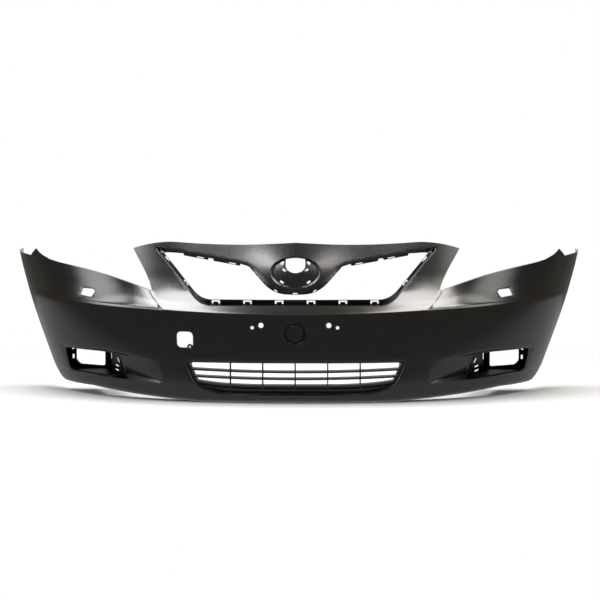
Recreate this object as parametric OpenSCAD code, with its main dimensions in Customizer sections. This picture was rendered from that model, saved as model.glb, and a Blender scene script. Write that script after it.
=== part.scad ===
/* [Overall size] */
// Width across the rear tips of the two wings
cover_w = 1796; // [1740:2:1850]
// Depth of the plan curve from its nose to the wing tips, before the raised middle adds its step
cover_d = 620; // [590:5:650]
// Height of the nose edge above the bottom edge, on the centre line
nose_h = 468; // [460:1:480]
// Height of the wing tips above the bottom edge
wing_h = 428; // [420:1:436]
// Wall of the moulding
wall = 3; // [2.6:0.1:3.4]

/* [Plan] */
// Exponent of the plan curve across the car, higher is squarer
plan_p = 2.4; // [2.2:0.05:2.6]
// Exponent of the plan curve along the car, higher is squarer
plan_q = 2.3; // [2.1:0.05:2.5]
// How far the sides tuck in between the wing tips and the bottom edge
side_tuck = 133; // [120:1:145]
// Depth of the wheel arch edge at the bottom
arch_y = 430; // [415:5:445]

/* [Side section] */
// Height of the shoulder line on the centre line
shoulder_z = 268; // [262:1:274]
// Rise of the shoulder line out to the wing tips
shoulder_rise = 40; // [34:1:46]
// Depth of the nose edge behind the most forward point
nose_y = 145; // [130:5:160]
// Depth of the headlamp notch behind the most forward point
notch_y = 60; // [50:2:70]
// Depth of the bottom edge behind the most forward point
chin_y = 58; // [50:2:66]
// Rise of the bottom edge towards the wheel arches
chin_rise = 28; // [20:1:32]

/* [Headlamp notch] */
// Half width at which the notch between ear and wing starts
notch_x = 437; // [430:1:444]
// Height of the notch
notch_z = 325; // [320:1:330]
// Share by which the ears lean outwards up to the nose edge
ear_lean = 0.12; // [0.1:0.01:0.14]
// Step of the raised middle section over the wings
crease_step = 5; // [3:0.5:7]

/* [Upper grille opening] */
// Half width of the opening's lower edge
grille_low_x = 276; // [268:1:284]
// Height of the opening's lower edge above the shoulder line
seat_rise = 23; // [20:0.5:26]
// Half width of the opening's upper corners
grille_top_x = 418; // [408:1:424]
// Height of the nose edge above the opening's upper corners
brow_h = 16; // [14:0.5:22]
// Depth of the grille seat behind the face
seat_depth = 12; // [9:0.5:15]
// Width of the grille seat along the lower edge
seat_w = 15; // [13:0.5:17]
// Pitch of the clip windows in the seat
clip_pitch = 93; // [86:1:96]

/* [Emblem seat] */
// Half width of the dish
dish_rx = 70; // [64:1:72]
// Depth of the dish
dish_depth = 8; // [6:0.5:10]

/* [Lower grille] */
// Half width of the opening's upper edge
intake_x = 322; // [312:1:328]
// Height of the opening's lower edge
intake_low_z = 28; // [26:0.5:31]
// Height of the opening's upper edge
intake_top_z = 121; // [116:1:126]
// Thickness of the slats
slat_t = 4.5; // [3.5:0.5:6]
// Pitch of the slats
slat_pitch = 20.5; // [18:0.5:21.5]
// Pitch of the upright ribs
rib_pitch = 95.5; // [85:0.5:100]
// Thickness of the ribs
rib_t = 4; // [3:0.5:5]

/* [Fog pocket] */
// Depth of the ledge at the foot of the scoop
scoop_depth = 34; // [26:1:40]
// Width of the fog lamp opening
lamp_w = 90; // [80:1:96]
// Height of the fog lamp opening
lamp_h = 58; // [52:1:60]
// Wall of the fog lamp bracket
bracket_t = 3; // [2.5:0.1:3.5]

/* [Holes and fasteners] */
// Diameter of the two large plate holes
plate_d = 15; // [12:0.5:18]
// Spacing of the two large plate holes
plate_pitch = 197; // [185:1:210]
// Side of the square tow-eye hole
tow_w = 48; // [42:1:54]
// Diameter of the fixing holes in the flanges
fix_d = 8; // [6:0.5:10]
// Shank diameter of the screws
screw_d = 4; // [3.5:0.1:4.5]
// Clearance between seated pieces
gap = 0.3; // [0.2:0.05:0.5]

/* [Hidden] */

function lerp(a, b, t) = a + (b - a) * t;
function clamp01(t) = min(1, max(0, t));
function ease(t) = let (c = clamp01(t)) c * c * (3 - 2 * c);
function total(v, k = 0) = k == len(v) ? [0, 0, 0] : v[k] + total(v, k + 1);

// Places that follow the overall width and the height of the nose
half_ref = cover_w / 2;
nose_rise = nose_h - shoulder_z;
function wide(share) = share * half_ref;
function high(share) = shoulder_z + share * nose_rise;
grille_low_z = shoulder_z + seat_rise;
grille_top_z = nose_h - brow_h;
dish_z = high(0.575);
dish_rz = 0.225 * nose_rise;

// Grid columns on one side, from the centre line outwards
notch_n = 10;
scoop_n = 4;
crease_w = 8;
pocket_x = wide(0.645);
front_x = concat([for (k = [0:notch_n]) notch_x * k / notch_n],
                 [for (k = [0:scoop_n]) lerp(notch_x + crease_w, pocket_x, k / scoop_n)]);
front_k = len(front_x) - 1;
flank_t = 0.35;
climb_t = 0.42;
peak_t = 0.47;
dip_t = 0.55;
side_t = [0.12, 0.24, flank_t, climb_t, peak_t, dip_t, 0.62, 0.72, 0.81, 0.9, 1];
arch_k = front_k + len(side_t);
rim_k = arch_k + 1;
flank_k = front_k + 3;
pocket_end_k = front_k + 7;
function plan_theta(x) = asin(pow(x / half_ref, plan_p / 2));
pocket_theta = plan_theta(pocket_x);
outer_theta = 80;
function col_share(k) = k <= front_k ? front_x[k] / half_ref
    : pow(sin(lerp(pocket_theta, outer_theta, side_t[min(k, arch_k) - front_k - 1])), 2 / plan_p);
function col_t(k) = k <= front_k ? 0 : side_t[min(k, arch_k) - front_k - 1];

// Heights of the lines that the rows follow, for a column
corner_t = 0.8;
corner_r = 34;
tip_drop = 21;
corner_part = 0.98;
chin_start = 0.36;
chin_run = 0.46;
chin_bend = 1.2;
function corner_share(k) = corner_part * clamp01((col_t(k) - corner_t) / (1 - corner_t));
function bottom_z(k) = chin_rise * pow(clamp01((col_share(k) - chin_start) / chin_run), chin_bend)
    + corner_r * (1 - sqrt(1 - pow(corner_share(k), 2)));
ledge_low = 36;
ledge_rise = 37;
ledge_h = 5;
pocket_sill = 1;
scoop_climb = 20;
scoop_top = 114;
scoop_rise = 34;
scoop_start = 0.4;
scoop_run = 0.35;
line_bend = 1.7;
function ledge_low_z(k) = ledge_low + ledge_rise * col_share(k);
function scoop_share(k) = clamp01((k - notch_n - 1) / (front_k - notch_n - 1));
function ledge_z(k) = ledge_low_z(k)
    + (k <= front_k ? ledge_h + scoop_climb * scoop_share(k) : pocket_sill);
function scoop_top_z(k) = scoop_top + scoop_rise * ease((col_share(k) - scoop_start) / scoop_run);
function line_z(k) = shoulder_z + shoulder_rise * pow(col_share(k), line_bend);

// The wing's edge climbs from the notch to a peak, then dips and climbs again to the tip
wing_bend = 1.64;
peak_rise = [[0.24, 0], [flank_t, 4], [climb_t, 10], [peak_t, 25]];
dip_drop = 9.5;
tip_bend = 0.7;
function wing_run(k) = (col_share(k) * half_ref - notch_x) / (half_ref - notch_x);
function wing_z(k) = k <= notch_n ? notch_z
    : col_t(k) < dip_t
        ? lerp(notch_z, wing_h, 1 - pow(1 - wing_run(k), wing_bend)) + lookup(col_t(k), peak_rise)
        : wing_h - dip_drop * (1 - pow((col_t(k) - dip_t) / (1 - dip_t), tip_bend));
brow_rise = 3;
brow_dip = 7;
brow_end = 0.75;
function nose_z(k) =
    let (e = k / notch_n)
    nose_h + brow_rise * e - brow_dip * sin(180 * min(1, e / brow_end))
    - tip_drop * pow(max(0, (e - brow_end) / (1 - brow_end)), 2);

// Rows from the bottom flange to the nose flange
ledge_row = 5;
scoop_row = 7;
face_n = 5;
line_row = scoop_row + face_n + 1;
wing_n = 3;
wing_row = line_row + 1 + wing_n;
nose_n = 6;
nose_row = wing_row + nose_n;
last_row = nose_row + 1;
chin_h = 8;
chin_mid = 0.55;
rim_drop = 6;
edge_r = 12;
edge_rise = 9;
function row_z(k, j) =
    j <= 1 ? bottom_z(k)
    : j == 2 ? bottom_z(k) + chin_h
    : j == 3 ? lerp(bottom_z(k) + chin_h, ledge_low_z(k), chin_mid)
    : j == 4 ? ledge_low_z(k)
    : j == ledge_row ? ledge_z(k)
    : j == scoop_row - 1 ? scoop_top_z(k) - rim_drop
    : j <= line_row - 1 ? lerp(scoop_top_z(k), line_z(k) - edge_r, (j - scoop_row) / face_n)
    : j == line_row ? line_z(k)
    : j == line_row + 1 ? line_z(k) + edge_rise
    : j <= wing_row ? lerp(line_z(k) + edge_rise, wing_z(k), (j - line_row - 1) / wing_n)
    : lerp(wing_z(k), nose_z(k), (min(j, nose_row) - wing_row) / nose_n);

// Depth of each row's plan curve at the centre line
lip_y = 28;
ledge_y = 25;
foot_y = 18;
foot_rim = 1;
face_bend = 1.6;
edge_y = 6;
brow_y = 15;
brow_bend = 0.75;
chin_row_y = [0.45, 0.15];
function row_y(j) =
    j <= 1 ? chin_y
    : j == 2 ? lerp(lip_y, chin_y, chin_row_y[0])
    : j == 3 ? lerp(lip_y, chin_y, chin_row_y[1])
    : j == 4 ? lip_y
    : j == ledge_row ? ledge_y
    : j == scoop_row - 1 ? foot_y + foot_rim
    : j <= line_row - 1 ? foot_y * pow(1 - (j - scoop_row) / face_n, face_bend)
    : j == line_row ? edge_y
    : j <= wing_row ? lerp(brow_y, notch_y, pow((j - line_row - 1) / wing_n, brow_bend))
    : lerp(notch_y, nose_y, (min(j, nose_row) - wing_row) / nose_n);

// Outer surface of the skin
ear_bow = 1.4;
arch_r = (pow(cover_d - arch_y, 2) + pow(wing_h, 2)) / (2 * (cover_d - arch_y));
tuck_bend = 1.15;
function half_w(z) = half_ref - side_tuck * pow(max(0, 1 - z / wing_h), tuck_bend);
function arch_at(z) = arch_y + arch_r - sqrt(pow(arch_r, 2) - pow(min(z, wing_h), 2));
function end_theta(z, y) = acos(pow(max(0, 1 - (arch_at(z) - y) / (cover_d - y)), plan_q / 2));
crease_lean = 0.07;
function crease_rows(j) = ease((j - scoop_row) / 2) * (1 - ease((j - line_row) / (wing_row - line_row)));
function crease_cols(k) = clamp01((front_k - k) / (front_k - notch_n - 1));
function lean(k, j) = j > wing_row ? ear_lean * pow((j - wing_row) / nose_n, ear_bow)
    : -crease_lean * crease_rows(j) * crease_cols(k);
function col_theta(k, j, z, y) = k <= front_k ? plan_theta(front_x[k] * (1 + lean(k, j)))
    : lerp(pocket_theta, end_theta(z, y), col_t(k));
pocket_lip = 8;
pocket_end = 0.6;
sill_depth = 14;
function crease_y(k, j) = k > notch_n ? 0 : -crease_step * ease((j - scoop_row - 1) / 3);
function scoop_y(k, j) = (j == ledge_row ? (k <= front_k ? scoop_depth * scoop_share(k) : sill_depth)
    : j == scoop_row - 1 && k >= front_k ? pocket_lip
    : j == scoop_row - 1 ? pocket_lip * scoop_share(k) : 0)
    * (k <= pocket_end_k - 2 ? 1 : k == pocket_end_k - 1 ? pocket_end : 0);
bulge = 20;
bulge_rx = 125;
bulge_rz = 75;
function bulge_y(x, z) = -bulge * exp(-pow(x / bulge_rx, 2) - pow((z - dish_z) / bulge_rz, 2));
bottom_flange = 28;
wing_flange = 13;
nose_flange = 30;
arch_flange = 16;
flange_end = 0.45;
function arch_return(j) = arch_flange * lerp(1, flange_end, clamp01((j - line_row - 1) / wing_n));
function wing_return(k) = wing_flange * lerp(1, flange_end, clamp01((k - front_k - 1) / 2));
function skin_point(k, j) =
    let (z = row_z(k, j), y0 = row_y(j), theta = col_theta(k, j, z, y0))
    let (x = half_w(z) * pow(sin(theta), 2 / plan_p))
    let (y = y0 + (cover_d - y0) * (1 - pow(max(0, cos(theta)), 2 / plan_q)))
    [x, y + crease_y(k, j) + scoop_y(k, j) + (j > line_row + 1 && k <= notch_n ? bulge_y(x, z) : 0), z];
function inward(k, j) =
    let (z = row_z(k, j), theta = col_theta(k, j, z, row_y(j)))
    [-sin(theta), cos(theta), 0];
function grid_point(k, j) =
    k == rim_k ? skin_point(arch_k, j) - [arch_return(j), 0, 0]
    : j == 0 ? skin_point(k, 1) + bottom_flange * inward(k, 1) + [0, 0, 1]
    : j > wing_row && k > notch_n
        ? skin_point(k, wing_row) + wing_return(k) * inward(k, wing_row) - [0, 0, 1]
    : j == last_row ? skin_point(k, nose_row) + [0, nose_flange, -3]
    : skin_point(k, j);
cols = 2 * rim_k;
grid = [for (i = [0:cols]) [for (j = [0:last_row])
    let (k = abs(i - rim_k), p = grid_point(k, j)) [i < rim_k ? -p.x : p.x, p.y, p.z]]];

// Which cells of the grid are skin
function skin_cell(i, j) = i < 0 || i >= cols || j < 0 || j >= last_row ? false
    : let (outer = max(abs(i - rim_k), abs(i + 1 - rim_k)), inner = outer - 1)
    j == 0 ? outer <= arch_k - 2
    : j == ledge_row ? !(inner >= front_k && outer <= pocket_end_k - 1)
    : j < wing_row ? outer < rim_k || j < wing_row - 1
    : j == wing_row ? outer <= notch_n || (inner > notch_n && outer <= flank_k)
    : outer <= notch_n;
function unit(v) = v / norm(v);
function cell_normal(i, j) = unit(cross(grid[i + 1][j + 1] - grid[i][j], grid[i][j + 1] - grid[i + 1][j]));
normals = [for (i = [0:cols - 1]) [for (j = [0:last_row - 1]) skin_cell(i, j) ? cell_normal(i, j) : undef]];
function point_normal(i, j) =
    let (near = [for (a = [i - 1, i], b = [j - 1, j]) if (skin_cell(a, b)) normals[a][b]])
    len(near) == 0 ? [0, -1, 0] : let (n = total(near) / len(near)) n / (n * n);
offsets = [for (i = [0:cols]) [for (j = [0:last_row]) point_normal(i, j)]];

// A closed solid between two layers of grid points, over the cells that the map holds
module sheet(outer, inner, map) {
    n_i = len(outer);
    n_j = len(outer[0]);
    n = n_i * n_j;
    points = concat([for (c = outer) each c], [for (c = inner) each c]);
    function held(i, j) = i >= 0 && j >= 0 && i < n_i - 1 && j < n_j - 1 && map[i][j];
    faces = [for (i = [0:n_i - 2], j = [0:n_j - 2]) if (held(i, j))
        let (a = i * n_j + j, b = a + n_j, c = b + 1, d = a + 1)
        each concat(
            [[a, d, c], [a, c, b], [n + a, n + b, n + c], [n + a, n + c, n + d]],
            held(i, j - 1) ? [] : [[a, b, n + b], [a, n + b, n + a]],
            held(i + 1, j) ? [] : [[b, c, n + c], [b, n + c, n + b]],
            held(i, j + 1) ? [] : [[c, d, n + d], [c, n + d, n + c]],
            held(i - 1, j) ? [] : [[d, a, n + a], [d, n + a, n + d]])];
    polyhedron(points, faces);
}

// Outlines seen from the front, as points [x, z] in anticlockwise order
function cross2(a, b) = a.x * b.y - a.y * b.x;
function meet(p, u, q, v) = p + u * cross2(q - p, v) / cross2(u, v);
function inset(p, d) = let (n = len(p)) [for (k = [0:n - 1])
    let (a = (k + n - 1) % n, u = p[k] - p[a], v = p[(k + 1) % n] - p[k])
    meet(p[k] + d[a] * unit([-u.y, u.x]), u, p[k] + d[k] * unit([-v.y, v.x]), v)];
function same(d, p) = [for (q = p) d];
corner_n = 5;
function rounded(p, r) = let (n = len(p)) [for (k = [0:n - 1])
    let (u = p[(k + n - 1) % n] - p[k], v = p[(k + 1) % n] - p[k])
    let (a = p[k] + unit(u) * min(r[k], 0.45 * norm(u)), b = p[k] + unit(v) * min(r[k], 0.45 * norm(v)))
    for (t = [0:1 / corner_n:1]) lerp(lerp(a, p[k], t), lerp(p[k], b, t), t)];
function mirrored(p) = concat(p, [for (k = [len(p) - 1:-1:0]) [-p[k].x, p[k].y]]);
function both(d) = concat(d, [for (k = [len(d) - 1:-1:0]) d[k]]);

// Upper grille opening, right half from the lower corner to the tongue under the emblem
tongue_x = 60;
tongue_rim = 11;
tongue_z = dish_z - dish_rz - tongue_rim;
neck_x = 130;
neck_z = high(0.675);
side_seat = 8;
arm_seat = 9;
arm_edge = 3;
neck_seat = 9;
tongue_seat = 8;
grille_outline = mirrored([[grille_low_x, grille_low_z], [grille_top_x, grille_top_z],
                           [neck_x, neck_z], [tongue_x, tongue_z]]);
grille_corner = both([36, 8, 24, 46]);
grille_seat = [side_seat, arm_seat, neck_seat, tongue_seat, neck_seat, arm_seat, side_seat, seat_w];

// Gaps beside the tabs that hang along each arm, each end as [x, seat left there], and the tabs' windows
arm_gaps = [[[138, 2 * arm_edge], [165, arm_edge]], [[244, arm_edge], [261, arm_edge]],
            [[334, arm_edge], [0.93 * grille_top_x, arm_seat]]];
arm_windows = [188, 284];
arm_window = [22, 3];
arm_window_drop = 5.6;
function arm_z(x) = lerp(neck_z, grille_top_z, (x - neck_x) / (grille_top_x - neck_x));

// Lower opening, right half from the lower corner to the upper corner
intake_climb = 25;
intake_outline = mirrored([[0.67 * intake_x, intake_low_z], [0.913 * intake_x, intake_low_z + intake_climb],
                           [intake_x, intake_top_z]]);
intake_corner = both([30, 28, 10]);
intake_ref_z = 75;
intake_y = 22;
function plan_y(x, y, a) = y + (cover_d - y) * (1 - pow(1 - pow(abs(x) / a, plan_p), 1 / plan_q));
function intake_front(x) = plan_y(x, intake_y, half_w(intake_ref_z));
collar_end = 30;
boss_out = 9;
boss_d = 9;
intake_bosses = concat([for (s = [-0.87, -0.46, 0, 0.46, 0.87]) [s * intake_x, intake_top_z + boss_out]],
                       [for (s = [-0.59, -0.3, 0.3, 0.59]) [s * intake_x, intake_low_z - boss_out]]);

// Fog pocket fixings on the right side, as [x, depth of the tab, z]
tray_low_z = 64;
tray_top_z = 143;
tray_out_x = wide(0.8185);
tray_stand = 35;
lamp_z = 103;
tray_back = plan_y(tray_out_x, intake_y, half_w(lamp_z)) + tray_stand;
tab_out = 12;
function boss_at(share, z, stand) = let (x = wide(share)) [x, plan_y(x, intake_y, half_w(z)) + stand, z];
tab_stand = [22, 32, 50];
fog_bosses = [boss_at(0.635, tray_top_z + tab_out, tab_stand[0]),
              boss_at(0.78, tray_top_z + tab_out, tab_stand[1]),
              boss_at(0.724, tray_low_z - tab_out, tab_stand[2])];

far = 400;
module along_y(y1, y2) {
    translate([0, y2, 0])
        rotate([90, 0, 0])
            linear_extrude(y2 - y1)
                children();
}

module y_rod(p, y1, y2, d) {
    translate([p.x, y2, p.y])
        rotate([90, 0, 0])
            cylinder(d = d, h = y2 - y1, $fn = 32);
}

// The skin's outer surface between two depths, over columns i1 to i2 and rows j1 to j2
module slab(i1, i2, j1, j2, d1, d2) {
    sheet([for (i = [i1:i2]) [for (j = [j1:j2]) grid[i][j] + [0, d1, 0]]],
          [for (i = [i1:i2]) [for (j = [j1:j2]) grid[i][j] + [0, d2, 0]]],
          [for (i = [i1:i2 - 1]) [for (j = [j1:j2 - 1]) true]]);
}

// Everything behind the skin, from a depth along its normals, over the same kind of range
module behind(i1, i2, j1, j2, inset_n, reach) {
    sheet([for (i = [i1:i2]) [for (j = [j1:j2]) grid[i][j] - inset_n * offsets[i][j]]],
          [for (i = [i1:i2]) [for (j = [j1:j2]) grid[i][j] + [0, reach, 0]]],
          [for (i = [i1:i2 - 1]) [for (j = [j1:j2 - 1]) true]]);
}

// A strip that follows the plan of the lower opening between two depths
band_n = 20;
flange_out = 17;
band_x = intake_x + flange_out + 2 * wall;
band_h = intake_top_z + 2 * flange_out;
band_xs = [for (k = [-band_n:band_n]) band_x * k / band_n];
module band(d1, d2) {
    linear_extrude(band_h)
        polygon(concat([for (x = band_xs) [x, intake_front(x) + d1]],
                       [for (k = [2 * band_n:-1:0]) [band_xs[k], intake_front(band_xs[k]) + d2]]));
}

// The same strip with a lower and an upper face that bow up to the ends, each as [rise, power],
// and lean up to the back by an angle
module bowed(d1, d2, z1, z2, below, above, angle = 0) {
    function level(x, d, z, bow) = z + bow[0] * pow(abs(x) / intake_x, bow[1])
        + (d - (d1 + d2) / 2) * tan(angle);
    function layer(z, bow) = [for (x = band_xs) [for (d = [d1, d2])
        [x, intake_front(x) + d, level(x, d, z, bow)]]];
    sheet(layer(z2, above), layer(z1, below), [for (x = band_xs) [true]]);
}

module skin() {
    sheet(grid, [for (i = [0:cols]) [for (j = [0:last_row]) grid[i][j] - wall * offsets[i][j]]],
          [for (i = [0:cols - 1]) [for (j = [0:last_row - 1]) skin_cell(i, j)]]);
}

root = 1;
proud = 60;
module grille_pan() {
    intersection() {
        slab(rim_k - notch_n, rim_k + notch_n, line_row + 1, nose_row, root, seat_depth + wall);
        along_y(-far, far)
            polygon(rounded(inset(grille_outline, same(-wall, grille_outline)), grille_corner));
    }
}

module grille_cut() {
    intersection() {
        slab(rim_k - notch_n, rim_k + notch_n, line_row + 1, nose_row, -proud, seat_depth);
        along_y(-far, far) polygon(rounded(grille_outline, grille_corner));
    }
    along_y(-far, far) polygon(rounded(inset(grille_outline, grille_seat), grille_corner));
    for (m = [0, 1], g = arm_gaps)
        along_y(-far, far)
            mirror([m, 0])
                polygon(concat([for (e = g) [e[0], arm_z(e[0]) - e[1]]],
                               [for (e = [g[1], g[0]]) [e[0], arm_z(e[0]) - 2 * arm_seat]]));
}

function ellipse(rx, rz, z, n) = [for (k = [0:n - 1]) [rx * cos(360 * k / n), z + rz * sin(360 * k / n)]];
module dish_pan() {
    intersection() {
        slab(rim_k - 2, rim_k + 2, wing_row - 1, nose_row, root, dish_depth + wall);
        along_y(-far, far) polygon(ellipse(dish_rx + wall, dish_rz + wall, dish_z, 40));
    }
}

module dish_cut() {
    intersection() {
        slab(rim_k - 2, rim_k + 2, wing_row - 1, nose_row, -proud, dish_depth);
        along_y(-far, far) polygon(ellipse(dish_rx, dish_rz, dish_z, 40));
    }
}

module intake_collar() {
    intersection() {
        slab(rim_k - notch_n, rim_k + notch_n, 2, scoop_row + 2, root, 3 * collar_end);
        union() {
            intersection() {
                along_y(-far, far)
                    polygon(rounded(inset(intake_outline, same(-wall, intake_outline)), intake_corner));
                band(-far, collar_end);
            }
            for (p = intake_bosses) y_rod(p, -far, intake_front(p.x) + collar_end, boss_d);
        }
    }
}

module fog_boss_rods(side) {
    for (p = fog_bosses) y_rod([side * p.x, p.z], 0, p.y - gap, boss_d);
}

module fog_boss_set(side) {
    i1 = side > 0 ? rim_k + front_k - 2 : rim_k - arch_k;
    i2 = side > 0 ? rim_k + arch_k : rim_k - front_k + 2;
    intersection() {
        behind(i1, i2, 2, scoop_row + 3, root, far);
        fog_boss_rods(side);
    }
}

pilot_l = 10;
pilot_d = screw_d + 0.4;
module pilots() {
    for (p = intake_bosses)
        let (end = intake_front(p.x) + collar_end)
        y_rod(p, end - pilot_l, end + 1, pilot_d);
    for (side = [-1, 1], p = fog_bosses)
        y_rod([side * p.x, p.z], p.y - pilot_l, p.y + 1, pilot_d);
}

// Small openings seen from the front
window_w = 25;
window_h = 10;
window_rise = 3;
tab_w = 15;
tab_h = 4;
side_window = [20, 4.5];
side_window_t = [0.36, 0.78];
hook_slot = [14, 4];
hook_turn = 33;
tongue_hook = 7;
module clip_window() {
    difference() {
        translate([-window_w / 2, 0]) square([window_w, window_h]);
        translate([-tab_w / 2, -1]) square([tab_w, tab_h + 1]);
    }
}

side_angle = atan2(grille_top_z - grille_low_z, grille_top_x - grille_low_x);
arm_angle = atan2(grille_top_z - neck_z, grille_top_x - neck_x);
module clip_windows() {
    for (k = [-2.5:2.5])
        translate([k * clip_pitch, grille_low_z + window_rise]) clip_window();
    for (m = [0, 1], t = side_window_t)
        mirror([m, 0])
            translate([lerp(grille_low_x, grille_top_x, t), lerp(grille_low_z, grille_top_z, t)])
                rotate(side_angle)
                    translate([0, side_seat / 2]) square(side_window, center = true);
    for (m = [0, 1], x = arm_windows)
        mirror([m, 0])
            translate([x, arm_z(x) - arm_window_drop])
                rotate(arm_angle) square(arm_window, center = true);
    for (m = [-1, 0, 1])
        translate([0.93 * tongue_x * m, tongue_z + tongue_hook * abs(m) - tongue_seat / 2])
            rotate(hook_turn * m) square(hook_slot, center = true);
}

badge_rx = 0.41 * dish_rx;
badge_rz = 0.53 * dish_rz;
badge_mid_z = dish_z + 0.49 * dish_rz;
badge_top_z = dish_z + 0.91 * dish_rz;
badge_crown = 4;
peg_slot = [11, 5];
peg_turn = 35;
module badge_holes() {
    polygon(concat([for (a = [180:15:360]) [badge_rx * cos(a), badge_mid_z + badge_rz * sin(a)]],
                   [for (t = [1:-0.5:-1]) [badge_rx * t, badge_top_z - badge_crown * t * t]]));
    for (m = [0, 1], v = [-1, 1])
        mirror([m, 0])
            translate([0.56 * dish_rx, dish_z + 0.61 * dish_rz * v])
                rotate(-peg_turn * v) square(peg_slot, center = true);
}

washer_at = [wide(0.6932), 319];
washer_outline = [[-11, -14], [24, -9], [16, 11], [-17, 9], [-22, 2]];
module washer_hole() {
    translate(washer_at) polygon(rounded(washer_outline, [4, 4, 4, 4, 3]));
}

tow_x = -323;
tow_z = 188;
tow_corner = 15;
tow_deep = 12;
tow_tab = [14, -21];
tow_tab_r = 8;
tow_tab_d = 5;
function tow_line(w) = rounded([for (c = [[-1, -1], [1, -1], [1, 1], [-1, 1]]) [tow_x, tow_z] + w / 2 * c],
                               [for (k = [0:3]) tow_corner]);
module tow_slab(d1, d2) {
    slab(rim_k - notch_n, rim_k - 5, scoop_row, line_row - 1, d1, d2);
}

module tow_collar() {
    intersection() {
        tow_slab(root, tow_deep);
        along_y(-far, far) polygon(tow_line(tow_w + 2 * wall));
    }
}

// The square hole, with a small tab left at the back of its lower corner
module tow_cut() {
    intersection() {
        tow_slab(-proud, tow_deep - wall);
        along_y(-far, far) polygon(tow_line(tow_w));
    }
    along_y(-far, far)
        difference() {
            polygon(tow_line(tow_w));
            translate([tow_x, tow_z] + tow_tab) circle(r = tow_tab_r, $fn = 32);
        }
    y_rod([tow_x, tow_z] + tow_tab, -far, far, tow_tab_d);
}

plate_z = 234;
peg_d = 10;
peg_pitch = 248;
peg_z = 227;
mark_z = 209;
mark_d = 59;
mark_w = 4;
mark_deep = 1.5;
module mould_mark() {
    intersection() {
        slab(rim_k - 1, rim_k + 1, scoop_row, line_row - 1, -proud, mark_deep);
        difference() {
            y_rod([0, mark_z], -proud, proud, mark_d);
            y_rod([0, mark_z], -proud - 1, proud + 1, mark_d - 2 * mark_w);
        }
    }
}

// Fixing holes in the return flanges, on grid columns and rows
nose_fix_k = [2, 6];
bottom_fix_k = [2, 6];
arch_fix_j = [9, line_row];
fix_share = 0.6;
fix_reach = 20;
arch_fix_d = 0.75 * fix_d;
module z_rod(p, d) {
    translate(p - [0, 0, fix_reach])
        cylinder(d = d, h = 2 * fix_reach, $fn = 32);
}

module flange_holes() {
    for (side = [-1, 1]) {
        for (k = nose_fix_k)
            z_rod(grid[rim_k + side * k][nose_row] + [0, fix_share * nose_flange, 0], fix_d);
        for (k = bottom_fix_k)
            z_rod(grid[rim_k + side * k][1] + [0, fix_share * bottom_flange, 0], fix_d);
        for (j = arch_fix_j)
            let (p = grid[rim_k + side * arch_k][j], x = p.x - side * fix_share * arch_flange)
            y_rod([x, p.z], p.y - fix_reach, p.y + fix_reach, arch_fix_d);
    }
}

module bumper_cover() {
    color("#2b2b29")
        difference() {
            union() {
                skin();
                grille_pan();
                dish_pan();
                intake_collar();
                tow_collar();
                fog_boss_set(1);
                fog_boss_set(-1);
            }
            grille_cut();
            dish_cut();
            mould_mark();
            pilots();
            flange_holes();
            along_y(-far, far) polygon(rounded(intake_outline, intake_corner));
            along_y(-far, far) clip_windows();
            along_y(-far, far) badge_holes();
            along_y(-far, far) washer_hole();
            along_y(-far, far) mirror([1, 0]) washer_hole();
            tow_cut();
            for (m = [-0.5, 0.5]) {
                y_rod([m * plate_pitch, plate_z], -proud, proud, plate_d);
                y_rod([m * peg_pitch, peg_z], -proud, proud, peg_d);
            }
        }
}

// Lower grille: frame, slats, bottom bar and ribs, behind the collar of the lower opening
frame_gap = 1;
frame_t = 3;
frame_front = 14;
frame_back = 50;
slat_front = 18;
slat_back = 46;
slat_lean = 5;
rib_front = 20;
rib_back = 42;
bar_z = 51;
slat_n = 2;
rib_n = 5;
strip_z = 38;
strip_t = 3;
panel_front = 38;
frame_side = 8;
frame_top = 5;
frame_face = [frame_t, frame_side, frame_top, frame_side, frame_t, frame_t];
slat_bow = [7, 2];
bar_bow = [18, 4];
function even(d) = same(d, intake_outline);
function intake_line(d) = rounded(inset(intake_outline, d), intake_corner);
module intake_ring(d1, d2) {
    difference() {
        polygon(intake_line(d1));
        polygon(intake_line(d2));
    }
}

module slat(z, bow) {
    bowed(slat_front, slat_back, z - slat_t / 2, z + slat_t / 2, bow, bow, slat_lean);
}

module lower_grille() {
    color("#1b1b1c")
        difference() {
            union() {
                intersection() {
                    along_y(-far, far) intake_ring(even(-flange_out), even(frame_gap));
                    band(collar_end + gap, collar_end + gap + wall);
                }
                intersection() {
                    along_y(-far, far) intake_ring(even(frame_gap), even(frame_gap) + frame_face);
                    band(frame_front, frame_back);
                }
                intersection() {
                    along_y(-far, far) polygon(intake_line(even(frame_gap + frame_t / 6)));
                    union() {
                        for (k = [0:slat_n])
                            slat(bar_z + k * slat_pitch, k == 0 ? bar_bow : slat_bow);
                        for (k = [0:rib_n - 1])
                            let (x = (k - (rib_n - 1) / 2) * rib_pitch)
                            translate([x - rib_t / 2, intake_front(x) + rib_front, strip_z + root])
                                cube([rib_t, rib_back - rib_front, band_h - strip_z]);
                        bowed(panel_front, panel_front + wall, 0, bar_z, [0, 1], bar_bow);
                        bowed(slat_front, panel_front + 1, strip_z, strip_z + strip_t, bar_bow, bar_bow);
                    }
                }
            }
            for (p = intake_bosses)
                y_rod(p, intake_front(p.x), intake_front(p.x) + 2 * collar_end, screw_d + 2 * gap);
        }
}

head_d = 9;
head_t = 2.4;
module screw(p, y, bite) {
    y_rod(p, y - bite, y + head_t / 2, screw_d);
    y_rod(p, y, y + head_t, head_d);
}

bite = 9;
seat_gap = 0.05;
module lower_grille_screws() {
    color("#77797c")
        for (p = intake_bosses)
            screw(p, intake_front(p.x) + collar_end + gap + wall + rise_at(p.x) + seat_gap, bite);
}

// Extra depth of a flat head on the curved flange at a half width
function rise_at(x) = abs(intake_front(abs(x) + head_d / 2) - intake_front(x));

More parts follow.
